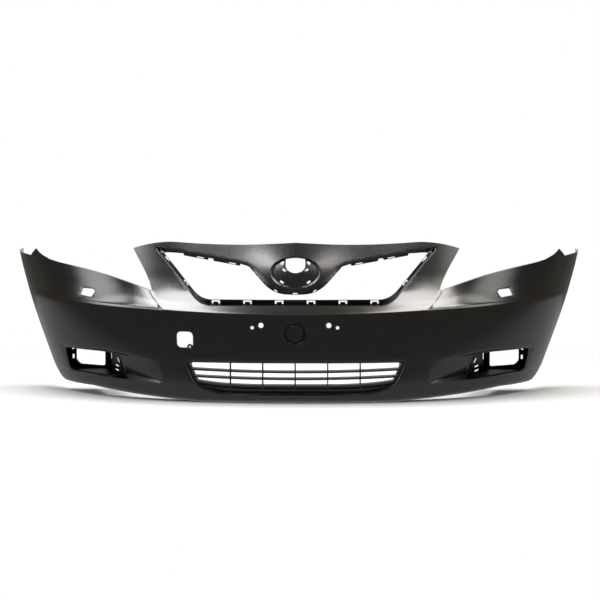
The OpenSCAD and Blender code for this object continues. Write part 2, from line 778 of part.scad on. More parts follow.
// Fog lamp bracket on the right side: an open tray behind the pocket
tray_in_x = wide(0.5434);
tray_turn_x = wide(0.6492);
tray_lead = 19;
tray_front = plan_y(tray_in_x, intake_y, half_w(lamp_z)) - tray_lead;
lamp_x = wide(0.716);
lamp_rim = 8;
tab_r = 8.5;
module tray_plan(t) {
    polygon([[tray_in_x + t, tray_front - t], [tray_turn_x + t, tray_back - t],
             [tray_out_x - t, tray_back - t], [tray_out_x - t, tray_front - t]]);
}

lamp_chamfer = 13;
lamp_slope = 6;
lamp_outline = [[lamp_x - lamp_w / 2, lamp_z - lamp_h / 2],
                [lamp_x + lamp_w / 2 - lamp_chamfer, lamp_z - lamp_h / 2 + lamp_slope],
                [lamp_x + lamp_w / 2, lamp_z - lamp_h / 2 + lamp_slope + lamp_chamfer],
                [lamp_x + lamp_w / 2, lamp_z + lamp_h / 2],
                [lamp_x - lamp_w / 2, lamp_z + lamp_h / 2]];
function lamp_line(d) = rounded(inset(lamp_outline, same(-d, lamp_outline)), [8, 6, 6, 8, 8]);
module bracket_slots() {
    translate([wide(0.6414), lamp_z + 5]) square([4, 21], center = true);
    translate([wide(0.6047), lamp_z + 2]) rotate(-peg_turn) square([5, 14], center = true);
    for (v = [-30, -17]) translate([wide(0.6114), lamp_z + v]) square([15, 5], center = true);
    translate([wide(0.7773), lamp_z]) square([6, 13], center = true);
    translate([wide(0.7773), lamp_z + 25]) rotate(-peg_turn) square([8, 4], center = true);
}

module fog_bracket() {
    color("#0f0f10")
        difference() {
            union() {
                intersection() {
                    behind(rim_k + front_k - 2, rim_k + arch_k, 3, scoop_row + 3, wall + gap, far);
                    difference() {
                        translate([0, 0, tray_low_z]) linear_extrude(tray_top_z - tray_low_z) tray_plan(0);
                        translate([0, 0, tray_low_z + bracket_t])
                            linear_extrude(tray_top_z - tray_low_z - 2 * bracket_t) tray_plan(bracket_t);
                    }
                }
                along_y(tray_back - bracket_t - lamp_rim, tray_back - 1)
                    difference() {
                        polygon(lamp_line(bracket_t));
                        polygon(lamp_line(0));
                    }
                for (p = fog_bosses)
                    let (low = p.z > tray_top_z ? tray_top_z - root : p.z - tab_r,
                         top = p.z > tray_top_z ? p.z + tab_r : tray_low_z + root)
                    translate([p.x - tab_r, p.y, low])
                        cube([2 * tab_r, bracket_t, top - low]);
            }
            along_y(tray_back - bracket_t - 1, tray_back + 1) polygon(lamp_line(0));
            along_y(tray_front, tray_back + 1) bracket_slots();
            for (p = fog_bosses) y_rod([p.x, p.z], p.y - 1, p.y + bracket_t + 1, screw_d + 2 * gap);
        }
}

module fog_bracket_screws() {
    color("#77797c")
        for (p = fog_bosses) screw([p.x, p.z], p.y + bracket_t + seat_gap, bite);
}

module placed() {
    translate([0, (crease_step - cover_d) / 2, 0]) children();
}

placed() bumper_cover();
placed() lower_grille();
placed() lower_grille_screws();
placed() mirror([1, 0, 0]) fog_bracket();  // fog_bracket_left
placed() fog_bracket();  // fog_bracket_right
placed() mirror([1, 0, 0]) fog_bracket_screws();  // fog_bracket_screws_left
placed() fog_bracket_screws();  // fog_bracket_screws_right
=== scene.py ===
import bmesh
import bpy
import math
import numpy as np
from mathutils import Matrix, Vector, kdtree
from mathutils.geometry import delaunay_2d_cdt


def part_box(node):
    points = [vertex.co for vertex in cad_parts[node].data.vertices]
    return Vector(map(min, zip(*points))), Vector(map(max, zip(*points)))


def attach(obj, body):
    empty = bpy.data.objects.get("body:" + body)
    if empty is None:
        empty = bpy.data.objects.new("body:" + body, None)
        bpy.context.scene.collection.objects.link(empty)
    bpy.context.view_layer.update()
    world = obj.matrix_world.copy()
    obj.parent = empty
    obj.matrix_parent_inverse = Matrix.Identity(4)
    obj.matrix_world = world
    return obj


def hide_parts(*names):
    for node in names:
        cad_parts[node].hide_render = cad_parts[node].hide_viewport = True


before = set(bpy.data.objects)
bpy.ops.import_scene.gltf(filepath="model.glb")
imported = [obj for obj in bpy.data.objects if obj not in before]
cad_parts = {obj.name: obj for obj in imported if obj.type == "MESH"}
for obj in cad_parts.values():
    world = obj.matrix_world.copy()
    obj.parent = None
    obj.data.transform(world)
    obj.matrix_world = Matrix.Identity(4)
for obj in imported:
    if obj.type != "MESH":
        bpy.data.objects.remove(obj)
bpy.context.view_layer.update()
mm = 0.001
print("frame loaded:", len(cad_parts), "nodes")


# small maths that every piece uses, all in millimetres
def lerp(a, b, t):
    return a + (b - a) * t


def ease(t):
    t = np.clip(t, 0, 1)
    return t * t * (3 - 2 * t)


def along(t, span):  # span is a start and the length of the run after it
    return np.clip((t - span[0]) / span[1], 0, 1)


def unit(v):
    return v / np.maximum(np.linalg.norm(v, axis=-1, keepdims=True), 1e-12)


# cover: plan, heights and depths of the moulded skin
coverLow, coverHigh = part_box("bumper_cover")
cover = {
    "halfWidth": (coverHigh[0] - coverLow[0]) / 2 / mm,
    "depth": 620,
    "wall": 3,
    "planPower": 2.4,
    "sidePower": 2.3,
    "sideTuck": 133,
    "tuckBend": 1.15,
    "pocketShare": 0.645,
    "outerAngle": 80,
    "archY": 430,
    # bottom edge, lip and scoop
    "chinY": 58,
    "chinRise": 28,
    "chinRun": (0.36, 0.46),
    "chinBend": 1.2,
    "chinRound": 8,
    "chinShare": 0.55,
    "chinCurve": (0.45, 0.15),
    "cornerRun": (0.8, 0.2),
    "cornerTurn": 0.98,
    "cornerLift": 34,
    "lipY": 28,
    "lipZ": (36, 37),
    "ledgeY": 25,
    "ledgeRise": (2, 13),
    "ledgeSide": (15, 1),
    "scoopZ": (114, 34),
    "scoopRun": (0.4, 0.35),
    "scoopEdge": 6,
    "scoopEdgeY": 19,
    "scoopY": 18,
    "scoopDepth": 34,
    "scoopBend": 0.8,
    "scoopFade": 0.6,
    "sillDepth": 14,
    "pocketLip": 8,
    "foldIn": (11, 2),
    "foldOut": (20, 1.5),
    "softFold": 0.6,
    # shoulder line and the crease that leaves it
    "shoulderZ": 268,
    "shoulderRise": 40,
    "shoulderBend": 1.7,
    "shoulderFold": (7, 6),
    "shoulderY": (4.5, 12),
    "faceBend": 1.6,
    "creaseStep": 5,
    "creaseLean": 0.07,
    "creaseRun": 2.6,
    "creaseRows": (2, 3),
    # wing, notch, ear and nose
    "wingHeight": 428,
    "wingBend": 1.64,
    "wingCurve": 0.75,
    "peakRise": 25,
    "peakFrom": 0.24,
    "peakBend": 3,
    "dipDrop": 9.5,
    "dipBend": 1.4,
    "tipBend": 0.7,
    "notchX": 437,
    "notchY": 60,
    "notchZ": 325,
    "notchGap": 8,
    "earLean": 0.12,
    "earBow": 1.4,
    "earSwell": 4.5,
    "earRun": (6, 3),
    "earProfile": [0, 0.72, 1, 0.83, 0.55, 0.28, 0],
    "noseHeight": 468,
    "noseY": 145,
    "noseRise": 2.05,
    "noseDip": 7,
    "noseDrop": 21,
    "noseTurn": 0.75,
    "emblemShare": 0.575,
    "bulge": 20,
    "bulgeSize": (125, 75),
    # flanges
    "bottomFlange": 28,
    "bottomLift": 1,
    "wingFlange": 13,
    "wingSag": 1,
    "noseFlange": 30,
    "noseSag": 3,
    "archFlange": 16,
    "flangeEnd": 0.45,
}
half = cover["halfWidth"]
depth = cover["depth"]
planP, planQ = cover["planPower"], cover["sidePower"]
# columns are counted from the middle outwards, rows from the bottom edge upwards
notchN, frontK, flankK, pocketEndK, sillEndK, archK, rimK = 10, 15, 18, 21, 23, 25, 26
lipRow, ledgeRow, scoopRow, lineRow, wingRow, noseRow, lastRow = 4, 5, 7, 13, 17, 23, 24
faceSteps, wingSteps, noseSteps = lineRow - scoopRow - 1, wingRow - lineRow - 1, noseRow - wingRow
pocketX = cover["pocketShare"] * half
pastNotch = cover["notchX"] + cover["notchGap"]
frontX = np.concatenate([cover["notchX"] * np.arange(notchN + 1) / notchN,
                         np.linspace(pastNotch, pocketX, frontK - notchN)])
peakT, dipT = 0.47, 0.55
sideT = np.array([0, 0.12, 0.24, 0.35, peakT, dipT, 0.62, 0.72, 0.81, 0.9, 1])
outerTheta = math.radians(cover["outerAngle"])
dishZ = cover["shoulderZ"] + cover["emblemShare"] * (cover["noseHeight"] - cover["shoulderZ"])
yShift = coverLow[1] / mm + cover["creaseStep"]  # the frame's origin is the middle of the box


def planTheta(x):
    return np.arcsin(np.clip(x / half, 0, 1) ** (planP / 2))


pocketTheta = planTheta(pocketX)


def halfAt(z):
    tuck = np.maximum(0, 1 - z / cover["wingHeight"]) ** cover["tuckBend"]
    return half - cover["sideTuck"] * tuck


def planY(x, y, a):
    return y + (depth - y) * (1 - (1 - (np.abs(x) / a) ** planP) ** (1 / planQ))


def columnShare(k, t):
    side = np.sin(lerp(pocketTheta, outerTheta, t)) ** (2 / planP)
    return np.where(k <= frontK, np.interp(k, np.arange(frontK + 1), frontX) / half, side)


# the wing's edge climbs from the notch to a peak, then dips and climbs again to the tip
def wingEdge(k, t, share):
    top, dip = cover["wingHeight"], cover["wingHeight"] - cover["dipDrop"]
    run = along(share * half, (cover["notchX"], half - cover["notchX"]))
    climb = lerp(cover["notchZ"], top, 1 - (1 - run) ** cover["wingBend"])
    rise = along(t, (cover["peakFrom"], peakT - cover["peakFrom"])) ** cover["peakBend"]
    climb = climb + cover["peakRise"] * rise
    fall = lerp(climb, dip, 1 - (1 - along(t, (peakT, dipT - peakT))) ** cover["dipBend"])
    tip = top - cover["dipDrop"] * (1 - along(t, (dipT, 1 - dipT)) ** cover["tipBend"])
    side = np.where(t < peakT, climb, np.where(t < dipT, fall, tip))
    return np.where(k <= notchN, cover["notchZ"], side)


def rowHeights(k, t):
    share = columnShare(k, t)
    turn = along(t, cover["cornerRun"]) * cover["cornerTurn"]
    bottom = (cover["chinRise"] * along(share, cover["chinRun"]) ** cover["chinBend"]
              + cover["cornerLift"] * (1 - np.sqrt(1 - turn ** 2)))
    low = bottom + cover["chinRound"]
    lip = cover["lipZ"][0] + cover["lipZ"][1] * share
    climb = np.clip((k - notchN - 1) / (frontK - notchN - 1), 0, 1)
    rise = cover["ledgeRise"][0] + cover["ledgeRise"][1] * climb ** cover["scoopBend"]
    ledge = lip + np.where(k <= frontK, rise, lerp(*cover["ledgeSide"], np.clip(k - frontK, 0, 1)))
    scoop = cover["scoopZ"][0] + cover["scoopZ"][1] * ease(along(share, cover["scoopRun"]))
    line = cover["shoulderZ"] + cover["shoulderRise"] * share ** cover["shoulderBend"]
    under, over = cover["shoulderFold"]
    wing = wingEdge(k, t, share)
    e, turn = np.minimum(k / notchN, 1), cover["noseTurn"]
    nose = (cover["noseHeight"] + cover["noseRise"] * e
            - cover["noseDip"] * np.sin(np.pi * np.minimum(1, e / turn))
            - cover["noseDrop"] * np.maximum(0, (e - turn) / (1 - turn)) ** 2)
    rows = [bottom, bottom, low, lerp(low, lip, cover["chinShare"]), lip, ledge,
            scoop - cover["scoopEdge"]]
    rows += [lerp(scoop, line - under, i / faceSteps) for i in range(faceSteps + 1)]
    rows += [line, line + over]
    rows += [lerp(line + over, wing, i / wingSteps) for i in range(1, wingSteps + 1)]
    rows += [lerp(wing, nose, i / noseSteps) for i in range(1, noseSteps + 1)] + [nose]
    return np.concatenate(rows, axis=1), climb


def rowDepths():
    chin, lip, notch, nose = [cover[n] for n in ("chinY", "lipY", "notchY", "noseY")]
    rows = [chin, chin] + [lerp(lip, chin, s) for s in cover["chinCurve"]]
    rows += [lip, cover["ledgeY"], cover["scoopEdgeY"]]
    rows += [cover["scoopY"] * (1 - i / faceSteps) ** cover["faceBend"]
             for i in range(faceSteps + 1)]
    rows += cover["shoulderY"]
    rows += [lerp(cover["shoulderY"][1], notch, (i / wingSteps) ** cover["wingCurve"])
             for i in range(1, wingSteps + 1)]
    rows += [lerp(notch, nose, i / noseSteps) for i in range(1, noseSteps + 1)] + [nose]
    return np.array(rows)


rowY = rowDepths()


# places of all the rows at column numbers k, on the right half
def surfaceRows(k):
    k = np.minimum(k, archK)[:, None]
    t = np.interp(k, np.arange(frontK, archK + 1), sideT)
    z, climb = rowHeights(k, t)
    j = np.arange(lastRow + 1)[None, :]
    leanRows, stepRows = cover["creaseRows"]
    lean = cover["earLean"] * np.clip((j - wingRow) / noseSteps, 0, 1) ** cover["earBow"]
    creased = ease((j - scoopRow) / leanRows) * (1 - ease((j - lineRow) / (wingRow - lineRow)))
    inner = np.clip((frontK - k) / (frontK - notchN - 1), 0, 1)
    lean = lean - cover["creaseLean"] * creased * inner
    front = planTheta(np.interp(k, np.arange(frontK + 1), frontX) * (1 + lean))
    back = depth - cover["archY"]
    archR = (back ** 2 + cover["wingHeight"] ** 2) / (2 * back)
    arch = cover["archY"] + archR - np.sqrt(archR ** 2 - np.minimum(z, cover["wingHeight"]) ** 2)
    end = np.arccos(np.maximum(0, 1 - (arch - rowY) / (depth - rowY)) ** (planQ / 2))
    theta = np.where(k <= frontK, front, lerp(pocketTheta, end, t))
    x = halfAt(z) * np.sin(theta) ** (2 / planP)
    y = rowY + (depth - rowY) * (1 - np.maximum(0, np.cos(theta)) ** (2 / planQ))
    stepped = ease((j - scoopRow - 1) / stepRows)
    y = y - cover["creaseStep"] * stepped * (1 - ease((k - notchN) / cover["creaseRun"]))
    swell = np.interp(j, wingRow + np.arange(noseSteps + 1), cover["earProfile"])
    y = y + cover["earSwell"] * swell * ease(along(k, cover["earRun"]))
    fade = np.interp(k, [pocketEndK - 2, pocketEndK - 1, pocketEndK], [1, cover["scoopFade"], 0])
    sunk = lerp(cover["scoopDepth"] * climb ** cover["scoopBend"], cover["sillDepth"],
                np.clip(k - frontK, 0, 1))
    y = y + np.where(j == ledgeRow, sunk * fade, 0)
    y = y + np.where(j == scoopRow - 1, cover["pocketLip"] * climb * fade, 0)
    wide, high = cover["bulgeSize"]
    dome = cover["bulge"] * np.exp(-(x / wide) ** 2 - ((z - dishZ) / high) ** 2)
    y = y - np.where((j > lineRow + 1) & (k <= notchN), dome, 0)
    p = np.stack([x, y, z + 0 * x], axis=2)

    def inward(row):
        a = theta[:, row]
        return np.stack([-np.sin(a), np.cos(a), 0 * a], axis=1)

    p[:, 0] = p[:, 1] + cover["bottomFlange"] * inward(1) + [0, 0, cover["bottomLift"]]
    p[:, lastRow] = p[:, noseRow] + [0, cover["noseFlange"], -cover["noseSag"]]
    narrow = lerp(1, cover["flangeEnd"], np.clip((k - frontK - 1) / (flankK - frontK - 1), 0, 1))
    wing = p[:, wingRow] + cover["wingFlange"] * narrow * inward(wingRow)
    wing = wing + [0, 0, -cover["wingSag"]]
    side = (k[:, 0] > notchN + 0.5)[:, None]
    p[:, wingRow + 1] = np.where(side, wing, p[:, wingRow + 1])
    return p


# how sharp each row is: 1 is a folded edge, 0 a smooth run
def rowCrease(k):
    w = np.zeros((len(k), lastRow + 1))
    scoop = ease(along(k, cover["foldIn"])) * (1 - ease(along(k, cover["foldOut"])))
    w[:, 1] = w[:, noseRow] = 1
    w[:, wingRow] = np.clip(k - notchN, 0, 1)
    w[:, lipRow] = w[:, ledgeRow] = scoop
    w[:, scoopRow - 1] = w[:, scoopRow] = cover["softFold"] * scoop
    return w[:, :, None]


# the outer face of the skin at column u and row v, both running smoothly
def skinPoint(u, v):
    k = np.abs(u)
    rows = surfaceRows(k)
    step = np.diff(rows, axis=1)
    product = step[:, :-1] * step[:, 1:]
    total = step[:, :-1] + step[:, 1:]
    soft = np.zeros_like(rows)
    soft[:, 1:-1] = np.where(product > 0, 2 * product / np.where(total == 0, 1, total), 0)
    fold = rowCrease(k)
    leave, arrive = soft.copy(), soft.copy()
    leave[:, :-1] = lerp(soft[:, :-1], step, fold[:, :-1])
    arrive[:, 1:] = lerp(soft[:, 1:], step, fold[:, 1:])
    leave[:, 0] = step[:, 0]
    arrive[:, -1] = step[:, -1]
    n = np.arange(len(u))
    j = np.clip(np.floor(v).astype(int), 0, lastRow - 1)
    f = (v - j)[:, None]
    a, b = rows[n, j], rows[n, j + 1]
    p = (a * (2 * f ** 3 - 3 * f ** 2 + 1) + leave[n, j] * (f ** 3 - 2 * f ** 2 + f)
         + b * (3 * f ** 2 - 2 * f ** 3) + arrive[n, j + 1] * (f ** 3 - f ** 2))
    narrow = lerp(1, cover["flangeEnd"], np.clip((v - lineRow - 1) / wingSteps, 0, 1))
    p[:, 0] -= cover["archFlange"] * narrow * np.clip(k - archK, 0, 1)
    p[:, 0] *= np.where(u < 0, -1, 1)
    return p


def isSkin(u, v):
    k = np.abs(u)
    j = np.floor(v)
    held = np.where(j < wingRow, True, k < notchN)
    held = np.where(j == 0, k < sillEndK, held)
    held = np.where(j == wingRow - 1, k < archK, held)
    held = np.where(j == wingRow, (k < notchN) | ((k > notchN + 1) & (k < flankK)), held)
    return held & (j >= 0) & (v < lastRow) & (k < rimK)


# outlines seen from the front, as anticlockwise points of x and z
def inset(points, distances):
    p = np.array(points, float)
    before, after = np.roll(p, 1, axis=0), np.roll(p, -1, axis=0)
    u, v = unit(p - before), unit(after - p)
    d = np.array(distances, float)
    a = p + np.roll(d, 1)[:, None] * np.stack([-u[:, 1], u[:, 0]], axis=1)
    b = p + d[:, None] * np.stack([-v[:, 1], v[:, 0]], axis=1)
    gap = b - a
    s = (gap[:, 0] * v[:, 1] - gap[:, 1] * v[:, 0]) / (u[:, 0] * v[:, 1] - u[:, 1] * v[:, 0])
    return a + u * s[:, None]


def rounded(points, radii, steps=10, most=0.45):
    p = np.array(points, float)
    out = []
    for i in range(len(p)):
        u, v = p[i - 1] - p[i], p[(i + 1) % len(p)] - p[i]
        lengths = np.linalg.norm(u), np.linalg.norm(v)
        a = p[i] + u / lengths[0] * min(radii[i], most * lengths[0])
        b = p[i] + v / lengths[1] * min(radii[i], most * lengths[1])
        for t in np.linspace(0, 1, steps + 1):
            out.append(lerp(lerp(a, p[i], t), lerp(p[i], b, t), t))
    return np.array(out)


def mirrored(points):
    return list(points) + [[-x, z] for x, z in reversed(points)]


def resample(points, pitch, least=0.3):
    out = []
    for a, b in zip(points, np.roll(points, -1, axis=0)):
        n = max(1, int(round(np.linalg.norm(b - a) / pitch)))
        out += [lerp(a, b, i / n) for i in range(n)]
    keep = [out[0]]
    for p in out[1:]:
        if np.linalg.norm(p - keep[-1]) > least:
            keep.append(p)
    if np.linalg.norm(keep[-1] - keep[0]) < least:
        keep.pop()
    return np.array(keep)


def offset(points, distance):
    u = unit(points - np.roll(points, 1, axis=0))
    v = unit(np.roll(points, -1, axis=0) - points)
    d = unit(u + v)
    return points + distance * np.stack([-d[:, 1], d[:, 0]], axis=1)


def turned(points, angle, place):
    c, s = math.cos(math.radians(angle)), math.sin(math.radians(angle))
    return np.array(points, float) @ np.array([[c, s], [-s, c]]) + place


def rectangle(w, h):
    return [[-w / 2, -h / 2], [w / 2, -h / 2], [w / 2, h / 2], [-w / 2, h / 2]]


def circle(r, place, n=28):
    a = np.arange(n) * 2 * np.pi / n
    return np.stack([place[0] + r * np.cos(a), place[1] + r * np.sin(a)], axis=1)


def insidePolygon(points, polygon):
    x, z = points[:, 0], points[:, 1]
    held = np.zeros(len(points), bool)
    for a, b in zip(polygon, np.roll(polygon, -1, axis=0)):
        crosses = (a[1] > z) != (b[1] > z)
        if crosses.any():
            at = a[0] + (z - a[1]) * (b[0] - a[0]) / (b[1] - a[1] if b[1] != a[1] else 1e-9)
            held ^= crosses & (x < at)
    return held


# how far points lie inside an outline, below zero outside it
def outlineDistance(points, polygon):
    best = np.full(len(points), 1e9)
    for a, b in zip(polygon, np.roll(polygon, -1, axis=0)):
        d = b - a
        t = np.clip(((points - a) @ d) / max(d @ d, 1e-9), 0, 1)
        best = np.minimum(best, np.linalg.norm(points - a - t[:, None] * d, axis=1))
    return np.where(insidePolygon(points, polygon), best, -best)


# openings of the cover: walls are rings as (offset inwards, depth), slots are widths and heights
opening = {
    "grille": [[276, 291], [418, 452], [130, 403], [60, 327]],
    "grilleCorner": [36, 8, 24, 46],
    "grilleWall": [(-5, 0), (-3, 0.35), (-1.6, 1.2), (-0.6, 2.7), (-0.1, 4.6), (0.25, 10.2),
                   (0.7, 11.4), (1.6, 12)],
    # the sunk seat round the grille opening
    "seatDepth": 12,
    "seatCorner": [36, 6, 10] + [0.8] * 8 + [10, 20, 46],
    "seatBlend": (0.3, 4),
    "seatBack": (5, 0.8, 4),
    "seatLean": (2.2, 1.6),
    "sideSeat": 8,
    "sideSlot": (20, 4.2),
    "sideSlotIn": 4,
    "sideSlots": (0.36, 0.78),
    "armSeat": 9,
    "armEdge": 3,
    "armStart": 0.93,
    "armTabs": [(334, 261), (244, 165)],
    "armTabSlope": 1.5,
    "armSlot": (22, 2.6),
    "armSlotIn": 5.6,
    "armSlots": (284, 188),
    "neckSeat": 9,
    "neckRun": 8,
    "tongueSeat": 8,
    "tongueSlot": (14, 3),
    "tongueTurn": 33,
    "tonguePlace": (55.8, 322.4, 7),
    "lowSeat": 15,
    "clip": [[-12.5, 0], [-7.5, 0], [-7.5, 4], [7.5, 4], [7.5, 0], [12.5, 0], [12.5, 10],
             [-12.5, 10]],
    "clipCount": 6,
    "clipPitch": 93,
    "clipZ": 294,
    # emblem seat
    "dish": (70, 45),
    "dishDepth": 8,
    "dishMean": 56,
    "dishEdge": (1.6, 4.6),
    "dishLines": (0.9, 0.93, 0.957, 0.983, 1.01, 1.036, 1.08),
    "dishSlot": (11, 5),
    "dishSlotTurn": 35,
    "dishSlotPlace": (39.2, 27.45),
    "dishHole": (35, 8, 3),
    "badge": {"half": 28.7, "z": 405, "drop": 23.85, "top": 424, "bow": 4},
    # lower grille opening, tow eye, plate and washers
    "intake": [[215.7, 28], [294, 53], [322, 121]],
    "intakeCorner": [30, 28, 10],
    "intakeWall": [(-6, 0), (-3.8, 0.5), (-2, 1.6), (-0.8, 3.4), (-0.2, 6), (0.1, 20)],
    "intakePlan": (22, 75),
    "collarEnd": 30,
    "tow": (-323, 188),
    "towWidth": 48,
    "towCorner": 15,
    "towWall": [(-3.5, 0), (-2, 0.4), (-0.8, 1.3), (-0.15, 3), (0.2, 12)],
    "towTab": {"place": (14, -21), "radius": 8, "hole": 2.5, "thick": 2.5},
    "plateHoles": (98.5, 234, 15),
    "plateMarks": (124, 227, 10),
    "washer": (622.5, 319),
    "washerForm": [[-11, -14], [24, -9], [16, 11], [-17, 9], [-22, 2]],
    "washerCorner": [4, 4, 4, 4, 3],
    "mouldMark": (0, 209, 27.9),
    "markDepth": 3.2,
    "markEdge": (0.5, 2.9),
    "markLines": (-4, -3.2, -2.4, -1.6, -0.5, 0.5, 1.6, 2.4, 3.2, 4),
    "looseGap": (3, 6),
}
grilleLine = mirrored(opening["grille"])
grilleCorner = opening["grilleCorner"] + opening["grilleCorner"][::-1]
grilleEdge = rounded(grilleLine, grilleCorner)
intakeLine = mirrored(opening["intake"])
intakeCorner = opening["intakeCorner"] + opening["intakeCorner"][::-1]
intakeY, intakeZ = opening["intakePlan"]
dishX, dishHalf = opening["dish"]
markX, markZ, markR = opening["mouldMark"]
towX, towZ = opening["tow"]


def intakeFront(x):
    return planY(x, intakeY, halfAt(intakeZ))


# depth that the emblem seat and the mould mark press into the face at x and z
def pressed(x, z):
    r = np.sqrt((x / dishX) ** 2 + ((z - dishZ) / dishHalf) ** 2)
    early, run = opening["dishEdge"]
    dish = opening["dishDepth"] * ease(((1 - r) * opening["dishMean"] + early) / run)
    ring = np.abs(np.hypot(x - markX, z - markZ) - markR)
    return dish + opening["markDepth"] * (1 - ease(along(ring, opening["markEdge"])))


# each ring line: outline, its wall, depth of the ground it lies in, hole or not
softEdge = [(-1.7, 0), (-0.6, 0.3), (0, 1.1)]
smallEdge = [(-0.8, 0), (0, 0.7)]
plainEdge = [(0, 0)]
wholeFace = ((-24.8, 24.8), (1.2, 22.8))
faceAxes = [0, 2]
ringLines = []


def addRings(outline, rings, ground=0, hole=True, pitch=3.5, zone=wholeFace, axes=faceAxes,
             ends=None, clear=2.2):
    ringLines.append({"line": resample(np.array(outline, float), pitch), "rings": rings,
                      "ground": ground, "hole": hole, "zone": zone, "axes": axes, "ends": ends,
                      "clear": clear})


def addBoth(outline, rings, **more):
    addRings(outline, rings, **more)
    addRings((outline * [-1, 1])[::-1], rings, **more)


addRings(grilleEdge, opening["grilleWall"], hole=False, pitch=4)
lowCorner, topCorner, neck = [np.array(p, float) for p in opening["grille"][:3]]
seatHalf = [opening[n] for n in ("sideSeat", "armSeat", "neckSeat")]
seatWidths = seatHalf + [opening["tongueSeat"]] + seatHalf[::-1] + [opening["lowSeat"]]
seatCorners = inset(grilleLine, seatWidths)


def armAt(x, drop):
    return [x, lerp(neck[1], topCorner[1], (x - neck[0]) / (topCorner[0] - neck[0])) - drop]


# the seat's inner edge, with two tabs that hang along each arm
armSeat, armEdge, tabSlope = [opening[n] for n in ("armSeat", "armEdge", "armTabSlope")]
armLine = [armAt(opening["armStart"] * topCorner[0], armSeat)]
for start, stop in opening["armTabs"]:
    armLine += [armAt(start + tabSlope, armEdge), armAt(start, armSeat),
                armAt(stop, armSeat), armAt(stop - tabSlope, armEdge)]
armLine.append(armAt(neck[0] + opening["neckRun"], 2 * armEdge))
seatHalfLine = [list(p) for p in seatCorners[:2]] + armLine + [list(p) for p in seatCorners[2:4]]
seatLine = rounded(mirrored(seatHalfLine), opening["seatCorner"] + opening["seatCorner"][::-1], 6)
inSeat = {"ground": opening["seatDepth"], "ends": "seat"}
addRings(seatLine, smallEdge, pitch=4, clear=1.2, **inSeat)
for i in range(opening["clipCount"]):
    clipX = (i - (opening["clipCount"] - 1) / 2) * opening["clipPitch"]
    addRings(turned(opening["clip"], 0, [clipX, opening["clipZ"]]), plainEdge, **inSeat)
sideAngle = math.degrees(math.atan2(*(topCorner - lowCorner)[::-1]))
armAngle = math.degrees(math.atan2(*(topCorner - neck)[::-1]))
sideSlot = turned(rectangle(*opening["sideSlot"]), 0, [0, opening["sideSlotIn"]])
seatSlots = [turned(sideSlot, sideAngle, lerp(lowCorner, topCorner, t))
             for t in opening["sideSlots"]]
seatSlots += [turned(rectangle(*opening["armSlot"]), armAngle, armAt(x, opening["armSlotIn"]))
              for x in opening["armSlots"]]
for slot in seatSlots:
    addBoth(slot, plainEdge, clear=1.2, **inSeat)
tongueX, tongueZ, tongueRise = opening["tonguePlace"]
for m in (-1, 0, 1):
    addRings(turned(rectangle(*opening["tongueSlot"]), opening["tongueTurn"] * m,
                    [tongueX * m, tongueZ + tongueRise * abs(m)]), plainEdge, **inSeat)

badge = opening["badge"]
badgeLine = [[badge["half"] * math.cos(a), badge["z"] + badge["drop"] * math.sin(a)]
             for a in np.linspace(math.pi, 2 * math.pi, 19)]
badgeLine += [[badge["half"] * t, badge["top"] - badge["bow"] * t * t]
              for t in np.linspace(1, -1, 9)]
addRings(badgeLine, softEdge)
slotX, slotZ = opening["dishSlotPlace"]
holeX, holeZ, holeR = opening["dishHole"]
for mx in (-1, 1):
    for mz in (-1, 1):
        addRings(turned(rectangle(*opening["dishSlot"]), -opening["dishSlotTurn"] * mx * mz,
                        [slotX * mx, dishZ + slotZ * mz]), smallEdge, pitch=2.5)
    addRings(circle(holeR, [holeX * mx, dishZ + holeZ]), smallEdge, pitch=9)
addRings(rounded(intakeLine, intakeCorner), opening["intakeWall"], pitch=4, ends="collar")
towSquare = turned(rectangle(opening["towWidth"], opening["towWidth"]), 0, [towX, towZ])
addRings(rounded(towSquare, [opening["towCorner"]] * 4), opening["towWall"])
for m in (-1, 1):
    for x, z, d in (opening["plateHoles"], opening["plateMarks"]):
        addRings(circle(d / 2, [m * x, z]), softEdge, pitch=9)
washerForm = np.array(opening["washerForm"]) + opening["washer"]
addBoth(rounded(washerForm, opening["washerCorner"]), softEdge)
print("cover outlines:", len(ringLines))

# grid lines of the skin, finer where the form turns faster
columnSteps = [5] * 10 + [4] + [5] * 4 + [6] * 10 + [3]
rowSteps = [4, 3, 4, 4, 4, 6, 3, 4, 4, 4, 4, 4, 5, 4, 3, 3, 3, 4, 4, 4, 4, 4, 4, 4]


def gridLines(steps):
    return np.concatenate([i + np.arange(n) / n for i, n in enumerate(steps)] + [[len(steps)]])


rightU = gridLines(columnSteps)
uLines = np.concatenate([-rightU[:0:-1], rightU])
vLines = gridLines(rowSteps)
gridU, gridV = [g.ravel() for g in np.meshgrid(uLines, vLines, indexing="ij")]
nudge = 1e-4
near = np.zeros(len(gridU), bool)
for du in (-nudge, nudge):
    for dv in (-nudge, nudge):
        near |= isSkin(gridU + du, gridV + dv)
gridU, gridV = gridU[near], gridV[near]
gridP = skinPoint(gridU, gridV)

# the flat sheet in which the skin is meshed, close to true lengths
uKnots = np.array([0, notchN, notchN + 1, frontK, archK, rimK])
uLengths = np.array([0, 437, 449, 579, 1160, 1176])
rowLengths = [28, 10, 18, 25, 12, 55, 8] + [29] * 5 + [14, 11, 18, 18, 18] + [25] * 6 + [30]
vLengths = np.concatenate([[0], np.cumsum(rowLengths)])


def toSheet(u, v):
    return np.stack([np.sign(u) * np.interp(np.abs(u), uKnots, uLengths),
                     np.interp(v, np.arange(lastRow + 1), vLengths)], axis=1)


def fromSheet(q):
    return (np.sign(q[:, 0]) * np.interp(np.abs(q[:, 0]), uLengths, uKnots),
            np.interp(q[:, 1], vLengths, np.arange(lastRow + 1)))


